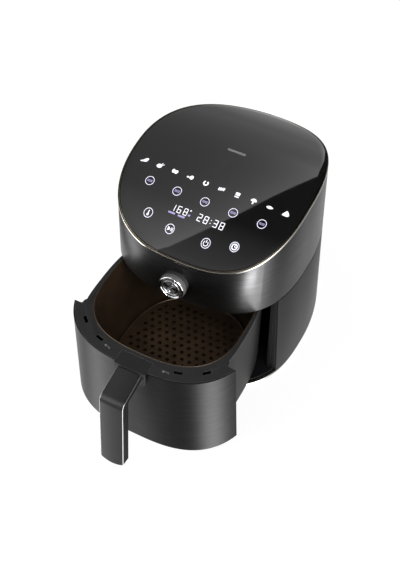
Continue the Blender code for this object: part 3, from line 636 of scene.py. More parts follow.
# Darker copy of the champagne for the trim ring's inner bead: painted shade.
CHAMPAGNE_SHADED = metal_paint("champagne_inner", (0.42, 0.36, 0.25), 0.16, spread=0.03, dull=0.95).material
CHROME = metal_paint("chrome_fine", (0.86, 0.86, 0.87), 0.07, spread=0.03).material
SPUN = spun_paint()
NON_STICK = non_stick_paint()
STEEL = metal_paint("sheet_steel_fine", (0.50, 0.50, 0.50), 0.34, (1.0, 12.0, 1.0)).material
ENAMEL = enamel_paint()
HEATER = metal_paint("heater_steel_fine", (0.15, 0.13, 0.12), 0.42, spread=0.10).material
RUBBER = rubber_paint("rubber_fine", (0.018, 0.018, 0.018))
SILICONE = rubber_paint("silicone_fine", (0.09, 0.09, 0.092))
BOARD = board_paint()
GREY = moulded_paint("grey_plastic_fine", (0.26, 0.26, 0.27), 0.48).material
MOTOR = metal_paint("motor_steel_fine", (0.42, 0.42, 0.43), 0.38, (1.0, 1.0, 20.0)).material
LIT_WHITE = lit_paint("lit_white", (0.93, 0.92, 1.0), 0.85)
LIT_RING = lit_paint("lit_ring", (0.86, 0.84, 1.0), 0.80)
LIT_LAVENDER = lit_paint("lit_lavender", (0.46, 0.42, 0.74), 0.42)
PRINT = printed_paint("print_grey", (0.42, 0.42, 0.42))
# Near black: the dark rings of the knob, and painted shade in the trim ring's groove and at its edge by the glass.
DARK_PRINT_AND_SHADE = printed_paint("print_dark", (0.012, 0.012, 0.012))
PRINT_SYMBOL = printed_paint("print_symbol", (0.30, 0.30, 0.30))


# ---- base
def build_base():
    width = BASE_RING_WIDTH
    section = wall_section(0.0, width, BASE_BOTTOM, BASE_TOP, [0.0008, 0.0011, 0.0004, 0.0004])
    loops = stack(body_shape(BASE_TOP), section, HOUSING_Y, BODY_STEPS)
    install(loft("base_ring", loops, CHAMPAGNE, wrap=True), "housing", "champagne", "base_trim_ring")

    plan = outline(body_shape(BASE_TOP), width + GAP, BODY_STEPS)
    plate = prism("underside_plate", plan, BASE_BOTTOM, BASE_TOP, HOUSING_Y, MATTE)
    slots = []
    for index in range(INTAKE_COUNT):
        points = rounded(bar(0.0, INTAKE_Y + INTAKE_PITCH * index, *INTAKE_SLOT), 0.0019, 6)
        slots.append(prism("cutter", points, 0.0, 0.02, HOUSING_Y, None))
    cut(plate, *slots)
    bevel(plate, 0.0004, 2)
    install(plate, "housing", "matte_black", "base_plate")

    points = outline(body_shape(FLOOR_TOP), FLOOR_INSET, BODY_STEPS)
    floor = prism("cavity_floor_sheet", points, FLOOR_BOTTOM, FLOOR_TOP, HOUSING_Y, MATTE, 0.0006)
    install(floor, "housing", "matte_black", "cavity_floor")

    foot = mm((3, 0.3), (5.2, 0.3), (5.6, 0), (8.5, 0), (9.6, 0.3), (10, 1), (10, 2.4), (9.6, 2.7),
              (9.6, 3), (10, 3.3))
    foot.append((0.0100, BASE_BOTTOM - GAP))
    for place in ("front_left", "front_right", "rear_left", "rear_right"):
        item = turned(f"{place}_foot", foot, RUBBER, upright_at(f"foot_{place}"), count=48)
        install(item, "housing", "rubber", f"foot_{place}")


# ---- housing
def body_wall(name, section, y_cut, front, paint, shift_y, count=BODY_STEPS):
    """A stretch of body wall: section is a closed polygon of (inset, z)."""
    loops = [lift(arc(body_shape(z), inset, y_cut, front, count), z, shift_y) for inset, z in section]
    return loft(name, loops, paint, closed=False, wrap=True)


def build_lower_housing():
    section = wall_section(0.0, WALL, LOWER_BOTTOM, LOWER_TOP, [0.0004, 0.0009, 0.0006, 0.0004])
    wall = body_wall("lower_shell", section, JAMB_Y, False, SATIN, HOUSING_Y)
    spot = middle("cord_gland")
    cut(wall, bore(GLAND_HOLE, -0.03, 0.03, Matrix.Translation((0.0, spot.y, spot.z)) @ BACKWARD, 48))
    install(wall, "housing", "satin_black", "lower_housing")

    wall_y = BACK_Y * plan_scale(spot.z) + HOUSING_Y
    bush = mm((10.5, 0.4), (10.5, 2.2), (7.8, 5), (7.8, 6.2), (4.2, 6.2), (4.2, -9), (7, -9), (7, 0.4))
    profile = rounded(bush, [0.0, 0.0008, 0.0008, 0.0005, 0.0008, 0.0, 0.0, 0.0])
    gland = turned("cord_bush", profile, RUBBER,
                   Matrix.Translation((0.0, wall_y, spot.z)) @ BACKWARD, ring=True, count=64)
    install(gland, "housing", "rubber", "cord_gland")


def build_jambs():
    """Posts at the sides of the drawer opening, each with a shallow groove down its front."""
    def reach(z):
        shape = body_shape(z)
        return plan_point(shape, WALL + GAP, crossing_angle(shape, WALL + GAP, JAMB_Y))[0]

    for side, sign in (("left", -1.0), ("right", 1.0)):
        low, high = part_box(f"jamb_{side}")
        inner, lower, upper = (sign * x for x in (OPENING_HALF_X, reach(low.z), reach(high.z)))
        rows = []
        for y, inset in ((low.y, 0.0006), (low.y + 0.0004, 0.0), (high.y, 0.0)):
            step, bottom, top = sign * inset, low.z + inset, high.z - inset
            rows.append([(inner + step, y, bottom), (lower - step, y, bottom),
                         (upper - step, y, top), (inner + step, y, top)])
        jamb = loft(f"{side}_jamb", rows, SATIN, capped=True)
        near, far = sorted(inner + sign * x for x in JAMB_GROOVE)
        cut(jamb, box_cutter((near, low.y - 0.001, low.z - 0.01),
                             (far, low.y + JAMB_GROOVE_DEPTH, high.z + 0.01)))
        bevel(jamb, 0.0002, 2)
        install(jamb, "housing", "satin_black", f"jamb_{side}")


def build_cavity():
    low, high = heights("cavity_liner")
    start = JAMB_Y + JAMB_DEPTH + GAP
    section = wall_section(-LINER_SHEET, LINER_SHEET, low, high, 0.0003, 2)
    loops = [lift(arc(LINER_PLAN, inset, start, False, DRAWER_STEPS), z, HOUSING_Y) for inset, z in section]
    liner = loft("cavity_wall", loops, ENAMEL, closed=False, wrap=True)
    tip = middle("switch_plunger")
    tip.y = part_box("switch_plunger")[0].y + 0.004
    cut(liner, bore(PLUNGER_HOLE, -0.01, 0.01, Matrix.Translation(tip) @ BACKWARD, 32))
    install(liner, "housing", "dark_enamel", "cavity_liner")

    for side in ("left", "right"):
        low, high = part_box(f"rail_{side}")
        points = rounded(rectangle(low.x, low.y, high.x, high.y), RAIL_CORNER, 8)
        rail = prism(f"{side}_rail", points, low.z, high.z, 0.0, RAIL_PAINTED_SHADE, 0.0008)
        install(rail, "housing", "grey_plastic", f"rail_{side}")

    low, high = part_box("deck_plate")
    plan = outline(body_shape(low.z), WALL + GAP, BODY_STEPS)
    deck = prism("deck_sheet", plan, low.z, high.z, HOUSING_Y, ENAMEL)
    fan_axis = Matrix.Translation((0.0, middle("convection_fan").y, 0.0))
    cut(deck, bore(FAN_OPENING, 0.1, 0.25, fan_axis, 128))
    bevel(deck, 0.0005, 2)
    install(deck, "housing", "dark_enamel", "deck_plate")


def knob_matrix():
    """Places a piece modelled along +Z on the knob's axis, pointing out of the front."""
    joint = JOINTS["knob_turn"]
    outward = Vector(joint["axis"]).normalized()
    return Matrix.Translation(joint["pos_m"]) @ outward.to_track_quat("Z", "Y").to_matrix().to_4x4()


def build_upper_housing():
    ledge, corner = 0.0033, 0.0007
    loops = []
    for inset, z in ((corner, UPPER_BOTTOM), (corner * 0.3, UPPER_BOTTOM + corner * 0.3),
                     (0.0, UPPER_BOTTOM + corner)):
        loops += stack(body_shape(z), [(inset, z)], HOUSING_Y, BODY_STEPS)
    top_shape = body_shape(TOP_PLAN_Z)
    for inset, depth in ((0.0, ledge + 0.0005), (0.0004, ledge), (WALL, ledge)):
        loops.append(lift_to_top(outline(top_shape, inset, BODY_STEPS), depth))
    loops += stack(body_shape(UPPER_BOTTOM), [(WALL, UPPER_BOTTOM)], HOUSING_Y, BODY_STEPS)
    band = loft("upper_band", loops, BLACK_STEEL_LIGHTER, wrap=True)
    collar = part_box("knob_collar")
    cutters = [bore((collar[1].x - collar[0].x) / 2.0 + GAP, -0.02, 0.03, knob_matrix())]
    for index in range(VENT_COUNT):
        z = VENT_Z + VENT_PITCH * index
        points = rounded(rectangle(-VENT_HALF_X, z, VENT_HALF_X, z + VENT_HEIGHT), 0.00174, 6)
        loops = [[(x, y + HOUSING_Y, height) for x, height in points] for y in (0.13, 0.20)]
        cutters.append(loft("cutter", loops, None, capped=True))
    cut(band, *cutters)
    install(band, "housing", "black_steel", "upper_housing")


def build_trim_ring():
    """Two polished beads with a groove between them. The groove and the slope down to the glass are painted near
    black as shade, and the inner bead is a darker copy of the champagne, also painted shade.
    """
    section = mm((0, 3), (0, 1), (0.12, 0.55), (0.4, 0.3), (0.7, 0.45), (0.85, 0.9), (0.9, 2), (1.65, 2),
                 (1.7, 0.8), (1.9, 0.45), (2.1, 0.42), (2.3, 0.8), (2.8, 3))
    shape = body_shape(TOP_PLAN_Z)
    loops = [lift_to_top(outline(shape, inset, BODY_STEPS), depth) for inset, depth in section]
    ring = loft("top_bead", loops, CHAMPAGNE, wrap=True)
    # Painted shade: the groove and the slope to the glass in near black, the inner bead in darker champagne.
    paint_rows(ring, DARK_PRINT_AND_SHADE, BODY_STEPS, (5, 6, 7, 11, 12))
    paint_rows(ring, CHAMPAGNE_SHADED, BODY_STEPS, (8, 9, 10))
    install(ring, "housing", "champagne", "top_trim_ring")


def glass_height(y):
    return top_height(y) - GLASS_DEPTH


def build_glass():
    shape = body_shape(TOP_PLAN_Z)
    inset = TOP_RING_WIDTH + GAP
    edge = [(0.0, GLASS_THICK + GLASS_DEPTH), (0.0, 0.0009), (0.0001, 0.00063), (0.0003, 0.00046),
            (0.0006, GLASS_DEPTH)]
    loops = [lift_to_top(outline(shape, inset + extra, BODY_STEPS), depth) for extra, depth in edge]
    rim = outline(shape, inset + edge[-1][0], BODY_STEPS)
    rings = 18
    for index in range(1, rings):
        share = 1.0 - index / rings
        points = [(x * share, WIDEST_Y + (y - WIDEST_Y) * share) for x, y in rim]
        loops.append(lift_to_top(points, GLASS_DEPTH))
    top = (0.0, WIDEST_Y + HOUSING_Y, glass_height(WIDEST_Y))
    below = (0.0, WIDEST_Y + HOUSING_Y, glass_height(WIDEST_Y) - GLASS_THICK)
    glass = loft("glass_top", loops, GLASS, sharp=60.0, tips=(below, top))
    install(glass, "housing", "black_glass", "top_glass")


# ---- marks on the glass
def on_glass(x, y):
    return x, y + HOUSING_Y, glass_height(y)


def decal(name, polygons, paint, surface=on_glass, body="housing", lift_by=0.00009, thick=0.00007):
    """Thin raised print made of flat polygons, wrapped on a surface."""
    bm = bmesh.new()
    for polygon in polygons:
        points = [surface(x, y) for x, y in polygon]
        lower, upper = ([bm.verts.new((x, y, z + rise)) for x, y, z in points]
                        for rise in (lift_by - thick, lift_by))
        for index in range(len(lower)):
            after = (index + 1) % len(lower)
            bm.faces.new((lower[index], lower[after], upper[after], upper[index]))
        bm.faces.new(lower)
        bm.faces.new(upper)
    item = finish_mesh(name, bm, paint, 20.0)
    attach(item, body)
    return item


def ring_polygons(centre, radius, width, pieces=24, start=0.0, end=360.0):
    """An annulus, or a part of one, as short quads."""
    result = []
    step = math.radians(end - start) / pieces
    for index in range(pieces):
        first = math.radians(start) + step * index
        corners = []
        for reach, angle in ((radius, first), (radius, first + step),
                             (radius - width, first + step), (radius - width, first)):
            corners.append((centre[0] + reach * math.cos(angle), centre[1] + reach * math.sin(angle)))
        result.append(corners)
    return result


def moved(points, centre, size=1.0, turn=0.0):
    cosine, sine = math.cos(math.radians(turn)), math.sin(math.radians(turn))
    return [(centre[0] + size * (x * cosine - y * sine), centre[1] + size * (x * sine + y * cosine))
            for x, y in points]


def blob(points, steps=4):
    """Smooth closed outline through the points."""
    result = []
    count = len(points)
    for index in range(count):
        before, here, after, beyond = (Vector(points[(index + k) % count]) for k in (-1, 0, 1, 2))
        for step in range(steps):
            t = step / steps
            result.append(tuple(0.5 * ((2.0 * here) + (after - before) * t
                                       + (2.0 * before - 5.0 * here + 4.0 * after - beyond) * t * t
                                       + (3.0 * here - before - 3.0 * after + beyond) * t * t * t)))
    return result


def food_marks():
    """Ten plain pictograms, each about a hundred units across."""
    return [
        # drumstick, shrimp, steak
        [blob([(50, 42), (10, 30), (-16, -2), (-52, -26), (-50, -38), (0, -30), (34, -22), (52, 10)])],
        [blob([(-46, -10), (-22, 26), (16, 22), (36, -6), (20, -34), (-24, -36)]),
         moved(bar(0, 0, 11, 46), (22, 32), 1, -18), moved(bar(0, 0, 11, 42), (44, 24), 1, -46)],
        [blob([(-48, 4), (-30, 34), (2, 22), (34, 30), (50, 2), (30, -34), (-4, -26), (-34, -28)])],
        # wing, open ring, ribs
        [blob([(-52, -6), (-40, 10), (-12, 2), (6, 32), (38, 30), (50, 2), (34, -28), (2, -28),
               (-14, -12), (-44, -22)])],
        ring_polygons((0, 0), 42, 22, 20, 118, 422),
        [moved(bar(0, 0, 100, 16), (0, 0), 1, 12)] + [bar(24 * k - 36, 5 * k - 6, 16, 50) for k in range(4)],
        # toast, mushroom, fish, cake
        [rounded(rectangle(-34, -6, 34, 44), 10, 3), rounded(rectangle(-34, -38, 34, -18), 7, 3)],
        [blob([(-44, 2), (-30, 34), (6, 46), (38, 28), (44, 0), (2, -6)]),
         rounded([(-10, -46), (12, -46), (14, -8), (-10, -8)], 5, 2)],
        [blob([(-50, 0), (-20, 22), (18, 22), (54, 2), (18, -20), (-20, -20)])],
        [blob([(-48, -30), (-8, 40), (16, 38), (50, -2), (46, -34), (0, -40)], 3)],
    ]


SEGMENTS = {"0": "abcdef", "1": "bc", "2": "abged", "3": "abgcd", "6": "afgedc", "8": "abcdefg"}


def digit_polygons(text, start, height, pitch, colon_pitch):
    """Numbers of seven straight segments; start is the middle of the first one."""
    width, stroke = height * 0.56, height * 0.115
    side, half = width / 2, height / 2
    places = {name: (0.0, y, width, stroke) for name, y in (("a", half), ("g", 0.0), ("d", -half))}
    for names, x in (("fe", -side), ("bc", side)):
        for name, y in zip(names, (half / 2, -half / 2)):
            places[name] = (x, y, stroke, half)
    result = []
    x, y = start
    for letter in text:
        if letter == ":":
            x -= pitch - colon_pitch
            result += [bar(x, y + share * height, stroke * 1.1, stroke * 1.1) for share in (-0.22, 0.22)]
            x += colon_pitch
            continue
        for name in SEGMENTS[letter]:
            px, py, sx, sy = places[name]
            result.append(bar(x + px, y + py, sx, sy))
        x += pitch
    return result


def build_marks():
    marks = [moved(polygon, ((index - 4.5) * FOOD_PITCH, FOOD_Y), FOOD_SIZE / 100.0)
             for index, mark in enumerate(food_marks()) for polygon in mark]
    decal("food_marks", marks, LIT_WHITE)

    rings, bars = [], []
    touch_keys = [((index - 2) * KEY_PITCH, KEY_Y) for index in range(5)]
    for x, y in touch_keys:
        for row in (-0.0009, 0.0009):
            bars += [bar(x - 0.0021, y + row, 0.0036, 0.0010), bar(x + 0.0021, y + row, 0.0038, 0.0010)]
    for centre in touch_keys + [HEAT_KEY, PLAY_KEY, POWER_KEY, TIMER_KEY]:
        rings += ring_polygons(centre, KEY_RADIUS, KEY_WIDTH, 36)
    decal("touch_rings", rings, LIT_RING)
    decal("touch_bars", bars, LIT_LAVENDER)

    x, y = HEAT_KEY
    glyphs = [bar(x, y + 0.0012, 0.0012, 0.0052), moved(circle(0.5, 14), (x, y - 0.0022), 0.0034)]
    x, y = PLAY_KEY
    glyphs += [[(x - 0.0034, y - 0.0028), (x + 0.0012, y), (x - 0.0034, y + 0.0028)],
               bar(x + 0.0022, y, 0.0010, 0.0048), bar(x + 0.0040, y, 0.0010, 0.0048)]
    x, y = POWER_KEY
    glyphs += ring_polygons((x, y - 0.0003), 0.0038, 0.0010, 20, 128.0, 412.0)
    glyphs.append(bar(x, y + 0.0026, 0.0010, 0.0040))
    x, y = TIMER_KEY
    glyphs += ring_polygons((x, y), 0.0044, 0.0016, 24)
    glyphs += [bar(x, y + 0.0010, 0.0010, 0.0030), bar(x + 0.0008, y, 0.0024, 0.0010)]
    decal("touch_symbols", glyphs, LIT_WHITE)

    numbers = digit_polygons("168", (-0.0376, DISPLAY_Y), 0.0088, DIGIT_PITCH, 0.0)
    numbers += ring_polygons((-0.0117, -0.1006), 0.0011, 0.0010, 10)
    numbers += digit_polygons("28:38", (0.0042, DISPLAY_Y), 0.0094, DIGIT_PITCH, 0.0074)
    decal("display_numbers", numbers, LIT_WHITE)
    notes = [bar(-0.0363, -0.1120, 0.0105, 0.0024), bar(-0.0212, -0.1122, 0.0105, 0.0024),
             bar(-0.0113, -0.1073, 0.0030, 0.0026)]
    decal("display_notes", notes, LIT_LAVENDER)
    decal("plain_line", [bar(0.0, 0.0147, 0.0285, 0.0042)], PRINT)


# ---- knob
def build_knob():
    matrix = knob_matrix()
    collar = mm((19.2, -3.5), (19.2, 5.6), (18.9, 6.6), (18.2, 7), (4, 7), (4, -3.5))
    item = turned("knob_seat", collar, SATIN, matrix, ring=True)
    install(item, "housing", "satin_black", "knob_collar")

    barrel = mm((18.8, 7.3), (19.9, 7.5), (20.3, 8), (20.3, 9.6), (19.9, 9.8), (19.9, 10.3), (20.3, 10.5),
                (20.3, 13.4), (20.1, 14), (19.7, 14.5))
    item = turned("knob_grip", barrel, KNOB_SATIN_LIGHTER, matrix)
    install(item, "knob", "satin_black", "knob_barrel")

    bezel = mm((19.5, 14.8), (19.4, 15.5), (18.9, 16.1), (18.1, 16.5), (17.3, 16.3), (16.8, 15.8),
               (16.5, 15.2), (16.1, 15.2), (15.9, 15.8), (15.6, 15.6), (15.6, 14.8))
    item = turned("knob_ring", bezel, CHROME, matrix, ring=True, sharp=50.0)
    paint_rows(item, DARK_PRINT_AND_SHADE, TURN_STEPS, (6,))
    install(item, "knob", "chrome", "knob_bezel")

    face = mm((15.3, 14.8), (15.3, 15.4), (15, 15.5), (13.6, 15.2), (13.3, 15.3), (13.2, 15.9),
              (12.9, 16.2), (12.4, 16.2), (12.1, 15.9), (11.9, 15.5), (10, 15.4), (8, 15.3), (6, 15.2),
              (4, 15.1), (2, 15), (0.6, 15))
    item = turned("knob_dish", face, SPUN, matrix, sharp=50.0)
    paint_rows(item, DARK_PRINT_AND_SHADE, TURN_STEPS, (0, 1, 2, 3))
    install(item, "knob", "spun_metal", "knob_face")


# ---- drawer
def bucket_loops(shape, levels):
    """Outer and inner loops of a sheet bucket."""
    floor = levels[0][1] + SHEET
    inner = [(inset + SHEET, max(z, floor)) for inset, z in levels]
    return stack(shape, levels, DRAWER_Y), stack(shape, inner, DRAWER_Y)


def curved_levels(bottom, top, foot_inset, waist_inset, corner, steps=8):
    """Side of a bucket: a round corner at the bottom, then a straight wall up to the mouth."""
    levels = []
    for index in range(steps + 1):
        angle = math.pi / 2.0 * index / steps
        inset = waist_inset + (foot_inset - waist_inset) * (1.0 - math.sin(angle))
        levels.append((inset, bottom + corner * (1.0 - math.cos(angle))))
    levels.append((waist_inset * 0.5, (bottom + corner + top) / 2.0))
    levels.append((0.0, top))
    return levels


def build_pan():
    low, high = heights("pan")
    levels = curved_levels(low, high, foot_inset=0.0110, waist_inset=0.0026, corner=0.0130)
    outer, inner = bucket_loops(PAN_PLAN, levels)
    pan = loft("outer_pan", outer + inner[::-1], PAN_SATIN, capped=True)
    install(pan, "drawer", "satin_black", "pan")


def build_basket():
    low, high = heights("basket")
    levels = curved_levels(low, high - 0.0005, foot_inset=0.0190, waist_inset=0.0098, corner=0.0150)
    outer, inner = bucket_loops(BASKET_PLAN, levels)
    crown = [(SHEET * share, high - drop)
             for share, drop in ((0.12, 0.0002), (0.35, 0.0), (0.65, 0.0), (0.88, 0.0002))]
    crown = stack(BASKET_PLAN, crown, DRAWER_Y)
    basket = loft("inner_basket", outer + crown + inner[::-1], NON_STICK, capped=True)
    install(basket, "drawer", "non_stick", "basket")


def rim_outline():
    front = arc(body_shape(RIM_TOP), PANEL_THICK + GAP, PANEL_BACK_Y, True, BODY_STEPS // 2)
    wing = front[-1][0]
    widest = PAN_PLAN[3]
    edge = outline(PAN_PLAN, 0.0, DRAWER_STEPS)
    pan = [(x, y) for x, y in edge if x > 0 and RIM_BACK_Y < y < widest]
    pan += [(x, y) for x, y in edge if y > widest or (x < 0 and y > RIM_BACK_Y)]
    notch = OPENING_HALF_X - 0.0012
    right = [(wing - 0.004, PANEL_BACK_Y), (notch + 0.003, PANEL_BACK_Y),
             (notch + 0.0008, PANEL_BACK_Y + 0.0006), (notch, PANEL_BACK_Y + 0.002), (notch, -0.0985)]
    left = [(-x, y) for x, y in reversed(right)]
    return front + right + pan + left


def bracket_shape(grow):
    """Shield outline of the bracket in (x, z): straight sides and large lower corners."""
    half = BRACKET_HALF_X + grow
    top = RIM_TOP + (0.02 if grow else 0.0)
    return rounded(rectangle(-half, BRACKET_BOTTOM - grow, half, top), [0.012, 0.012, 0.0, 0.0], 10)


def along_y(name, points, low, high, paint):
    loops = [[(x, y + DRAWER_Y, z) for x, z in points] for y in (low, high)]
    return loft(name, loops, paint, capped=True)


def build_rim():
    rim = prism("rim_flange", rim_outline(), RIM_BOTTOM, RIM_TOP, DRAWER_Y, MATTE)
    mouth = outline(BASKET_PLAN, -0.0004, DRAWER_STEPS)
    cutters = [prism("cutter", mouth, RIM_BOTTOM - 0.01, RIM_TOP + 0.01, DRAWER_Y, None)]
    reach = BRACKET_HALF_X + GAP
    pocket = rounded(rectangle(-reach, -0.30, reach, BRACKET_BACK_Y + GAP), [0.0, 0.0, 0.0008, 0.0008], 3)
    cutters.append(prism("cutter", pocket, 0.10, 0.30, DRAWER_Y, None))
    for x, y, turn in RIM_SLOT_PLACES:
        for sign in (-1.0, 1.0):
            hole = rounded(bar(0.0, 0.0, *RIM_SLOT), 0.0009, 3)
            points = moved(hole, (sign * x, y), 1.0, sign * turn)
            cutters.append(prism("cutter", points, RIM_BOTTOM - 0.01, RIM_TOP + 0.01, DRAWER_Y, None))
    cut(rim, *cutters)
    bevel(rim, 0.0006, 3, 60.0)
    seams = []
    for sign in (-1.0, 1.0):
        start, end = (Vector((sign * x, y)) for x, y in RIM_SEAM)
        side = (end - start).normalized().orthogonal() * (SEAM_WIDTH / 2.0)
        points = [tuple(start - side), tuple(end - side), tuple(end + side), tuple(start + side)]
        seams.append(prism("cutter", points, RIM_TOP - SEAM_DEPTH, RIM_TOP + 0.01, DRAWER_Y, None))
    cut(rim, *seams)
    # The bevel faces along the rim's top take the light grey: painted highlight.
    rim.data.materials.append(RIM_EDGE_HIGHLIGHT)
    for face in rim.data.polygons:
        if 0.25 < face.normal.z < 0.95 and face.center.z > RIM_TOP - 0.001:
            face.material_index = 1
    install(rim, "drawer", "matte_black", "drawer_rim")

    def on_rim(x, y):
        return x, y + DRAWER_Y, RIM_TOP
    symbol = [bar(-0.0022, 0.0, 0.0034, 0.0030), bar(0.0032, 0.0, 0.0052, 0.0010),
              bar(0.0052, -0.0012, 0.0012, 0.0022)]
    symbols = [moved(polygon, (sign * LOCK_MARK[0], LOCK_MARK[1]), 1.0, sign * LOCK_MARK_TURN)
               for sign in (-1.0, 1.0) for polygon in symbol]
    marks = decal("lock_marks", symbols, PRINT_SYMBOL, surface=on_rim, body="drawer")


def build_front():
    section = wall_section(0.0, PANEL_THICK, PANEL_BOTTOM, PANEL_TOP, [0.0005, 0.0006, 0.0006, 0.0005])
    panel = body_wall("front_panel", section, PANEL_BACK_Y, True, DRAWER_STEEL_DARKER, DRAWER_Y)
    cut(panel, along_y("cutter", bracket_shape(GAP), -0.30, -0.10, None))
    bevel(panel, 0.0003, 2, 60.0)
    install(panel, "drawer", "black_steel", "drawer_front_panel")

    low, high = heights("drawer_front_shell")
    section = wall_section(PANEL_THICK + GAP, SHELL_THICK, low, high, 0.0006)
    shell = body_wall("front_backing", section, PANEL_BACK_Y, True, MATTE, DRAWER_Y)
    cut(shell, along_y("cutter", bracket_shape(GAP), -0.30, -0.10, None))
    install(shell, "drawer", "matte_black", "drawer_front_shell")


# ---- handle
def bent_line(start, corner, end, radius, steps=12):
    """Points from start to end round a rounded corner, each with the direction out of the bend."""
    to_start = (start - corner).normalized()
    to_end = (end - corner).normalized()
    half = to_start.angle(to_end) / 2.0
    centre = corner + (to_start + to_end).normalized() * (radius / math.sin(half))
    reach = radius / math.tan(half)
    first = (corner + to_start * reach - centre).normalized()
    last = (corner + to_end * reach - centre).normalized()
    line = [(start, first)]
    for index in range(steps + 1):
        outward = first.lerp(last, index / steps).normalized()
        line.append((centre + outward * radius, outward))
    line.append((end, last))
    return line


def handle_outer(steps=12):
    """The handle's outer line, out along the arm and down the grip, in (y, z)."""
    start = Vector((BRACKET_FRONT_Y - GAP, RIM_TOP - HANDLE_START_DROP))
    corner = Vector((FRONT_Y - HANDLE_REACH, RIM_TOP - HANDLE_CORNER_DROP))
    end = Vector((FRONT_Y - HANDLE_REACH - HANDLE_LEAN, HANDLE_END))
    line = bent_line(start, corner, end, HANDLE_BEND, steps)
    return line, Vector((0.0, 1.0 / line[0][1][1]))


def handle_line(depth):
    """The outer line moved inwards, its arm flat against the bracket."""
    line, upright = handle_outer()
    return [line[0][0] - upright * depth] + [point - outward * depth for point, outward in line[1:]]


def handle_path(steps=18):
    """Points of the outer line, each with its outward direction and its progress from 0 to 1."""
    line, upright = handle_outer(steps)
    (start, arm), *bend, (end, grip) = line
    path = [(start, upright, 0.0)]
    path += [(start.lerp(bend[0][0], share), arm, 0.3 * share) for share in (0.25, 0.5, 0.75)]
    path += [(point, outward, 0.3 + 0.4 * index / steps) for index, (point, outward) in enumerate(bend)]
    path += [(bend[-1][0].lerp(end, index / 10.0), grip, 0.7 + 0.03 * index) for index in range(1, 11)]
    return path


def handle_back(inset):
    """The line along the back of the handle, with its own small bend."""
    arm, grip = handle_line(HANDLE_ARM_DEPTH - inset), handle_line(HANDLE_GRIP_DEPTH - inset)
    under_arm, behind_grip = arm[0].lerp(arm[1], 4.0), grip[-1].lerp(grip[-2], 4.0)
    corner = intersect_line_line_2d(arm[0], under_arm, grip[-1], behind_grip)
    return [point for point, _ in bent_line(arm[0], corner, grip[-1], HANDLE_INNER_BEND)]


def build_handle_core():
    """Profiles across the handle: rounded rear corners and a lower end curved across."""
    corner, turns, flats = 0.0020, 5, 10
    stations = [(HANDLE_HALF_X - corner * (1.0 - math.sin(t)), corner * (1.0 - math.cos(t)))
                for t in (math.pi / 2.0 * (turns - k) / turns for k in range(turns))]
    stations = ([(-x, inset) for x, inset in stations]
                + [((HANDLE_HALF_X - corner) * (2.0 * k / flats - 1.0), 0.0) for k in range(flats + 1)]
                + stations[::-1])
    front = handle_line(HANDLE_COVER + GAP)
    along = (front[-1] - front[-2]).normalized()
    loops = []
    for x, inset in stations:
        raised = along * (END_CURVE * (x / HANDLE_HALF_X) ** 2)
        back = handle_back(inset)
        profile = front[:-1] + [front[-1] - raised, back[-1] - raised] + back[-2::-1]
        loops.append([(x, y + DRAWER_Y, z) for y, z in profile])
    core = loft("handle_back", loops, HANDLE_DARK, capped=True)
    bevel(core, 0.0005, 3, 70.0)
    install(core, "drawer", "matte_black", "handle_core")


def sweep_handle(name, section_at, paint, sharp=35.0):
    """Sweep a section of (x, depth) along the handle; its lower end is curved across."""
    path = handle_path()
    along = (path[-1][0] - path[-2][0]).normalized()
    loops = []
    for point, normal, progress in path:
        loop = []
        for x, depth in section_at(progress):
            place = point - normal * depth
            if progress > 0.7:
                share = (progress - 0.7) / 0.3
                place = place - along * (END_CURVE * share * share * (x / HANDLE_HALF_X) ** 2)
            loop.append((x, place[0] + DRAWER_Y, place[1]))
        loops.append(loop)
    return loft(name, loops, paint, capped=True, sharp=sharp)


def crowned(section, drop=0.0010):
    """Let the face fall slightly towards both sides."""
    return [(x, depth + drop * (x / HANDLE_HALF_X) ** 2) for x, depth in section]


def build_handle():
    cover_x = HANDLE_HALF_X - HANDLE_TRIM - GAP
    face = [(-cover_x + 2.0 * cover_x * k / 10.0, 0.0) for k in range(11)]
    cover = face + [(cover_x, HANDLE_COVER), (-cover_x, HANDLE_COVER)]
    radii = [0.0006] + [0.0] * 9 + [0.0006, 0.0005, 0.0005]
    item = sweep_handle("handle_face", lambda _: crowned(rounded(cover, radii, 3)), HANDLE_SATIN)
    bevel(item, 0.0006, 3, 60.0)
    install(item, "drawer", "satin_black", "handle_cover")

    build_handle_core()
    for side, sign in (("left", -1.0), ("right", 1.0)):
        inner, outer = sign * (HANDLE_HALF_X - HANDLE_TRIM), sign * HANDLE_HALF_X
        strip = rounded(rectangle(inner, 0.0, outer, HANDLE_COVER), [0.0004, 0.0006, 0.0004, 0.0002], 3)
        item = sweep_handle(f"{side}_trim_strip", lambda _, strip=strip: crowned(strip), CHROME)
        install(item, "drawer", "chrome", f"handle_trim_{side}")

    shield = along_y("bracket_shield", bracket_shape(0.0), BRACKET_FRONT_Y, BRACKET_INNER_Y, MATTE)
    shelf_plan = rectangle(-BRACKET_HALF_X, BRACKET_INNER_Y - 0.004, BRACKET_HALF_X, BRACKET_BACK_Y)
    combine(shield, "UNION", prism("bracket_shelf", shelf_plan, RIM_BOTTOM, RIM_TOP, DRAWER_Y, None))
    bevel(shield, 0.0005, 3, 40.0)
    install(shield, "drawer", "matte_black", "handle_bracket")

    screw = mm((1, 0.9), (1.2, 0.2), (3.4, 0), (3.8, 0.5), (3.8, 1.8), (2.6, 2.8))
    for side in ("left", "right"):
        spot = middle(f"handle_screw_{side}")
        spot.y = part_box(f"handle_screw_{side}")[0].y
        place = Matrix.Translation(spot) @ BACKWARD
        item = turned(f"{side}_handle_screw", screw, STEEL, place, count=32)
        install(item, "drawer", "sheet_steel", f"handle_screw_{side}")


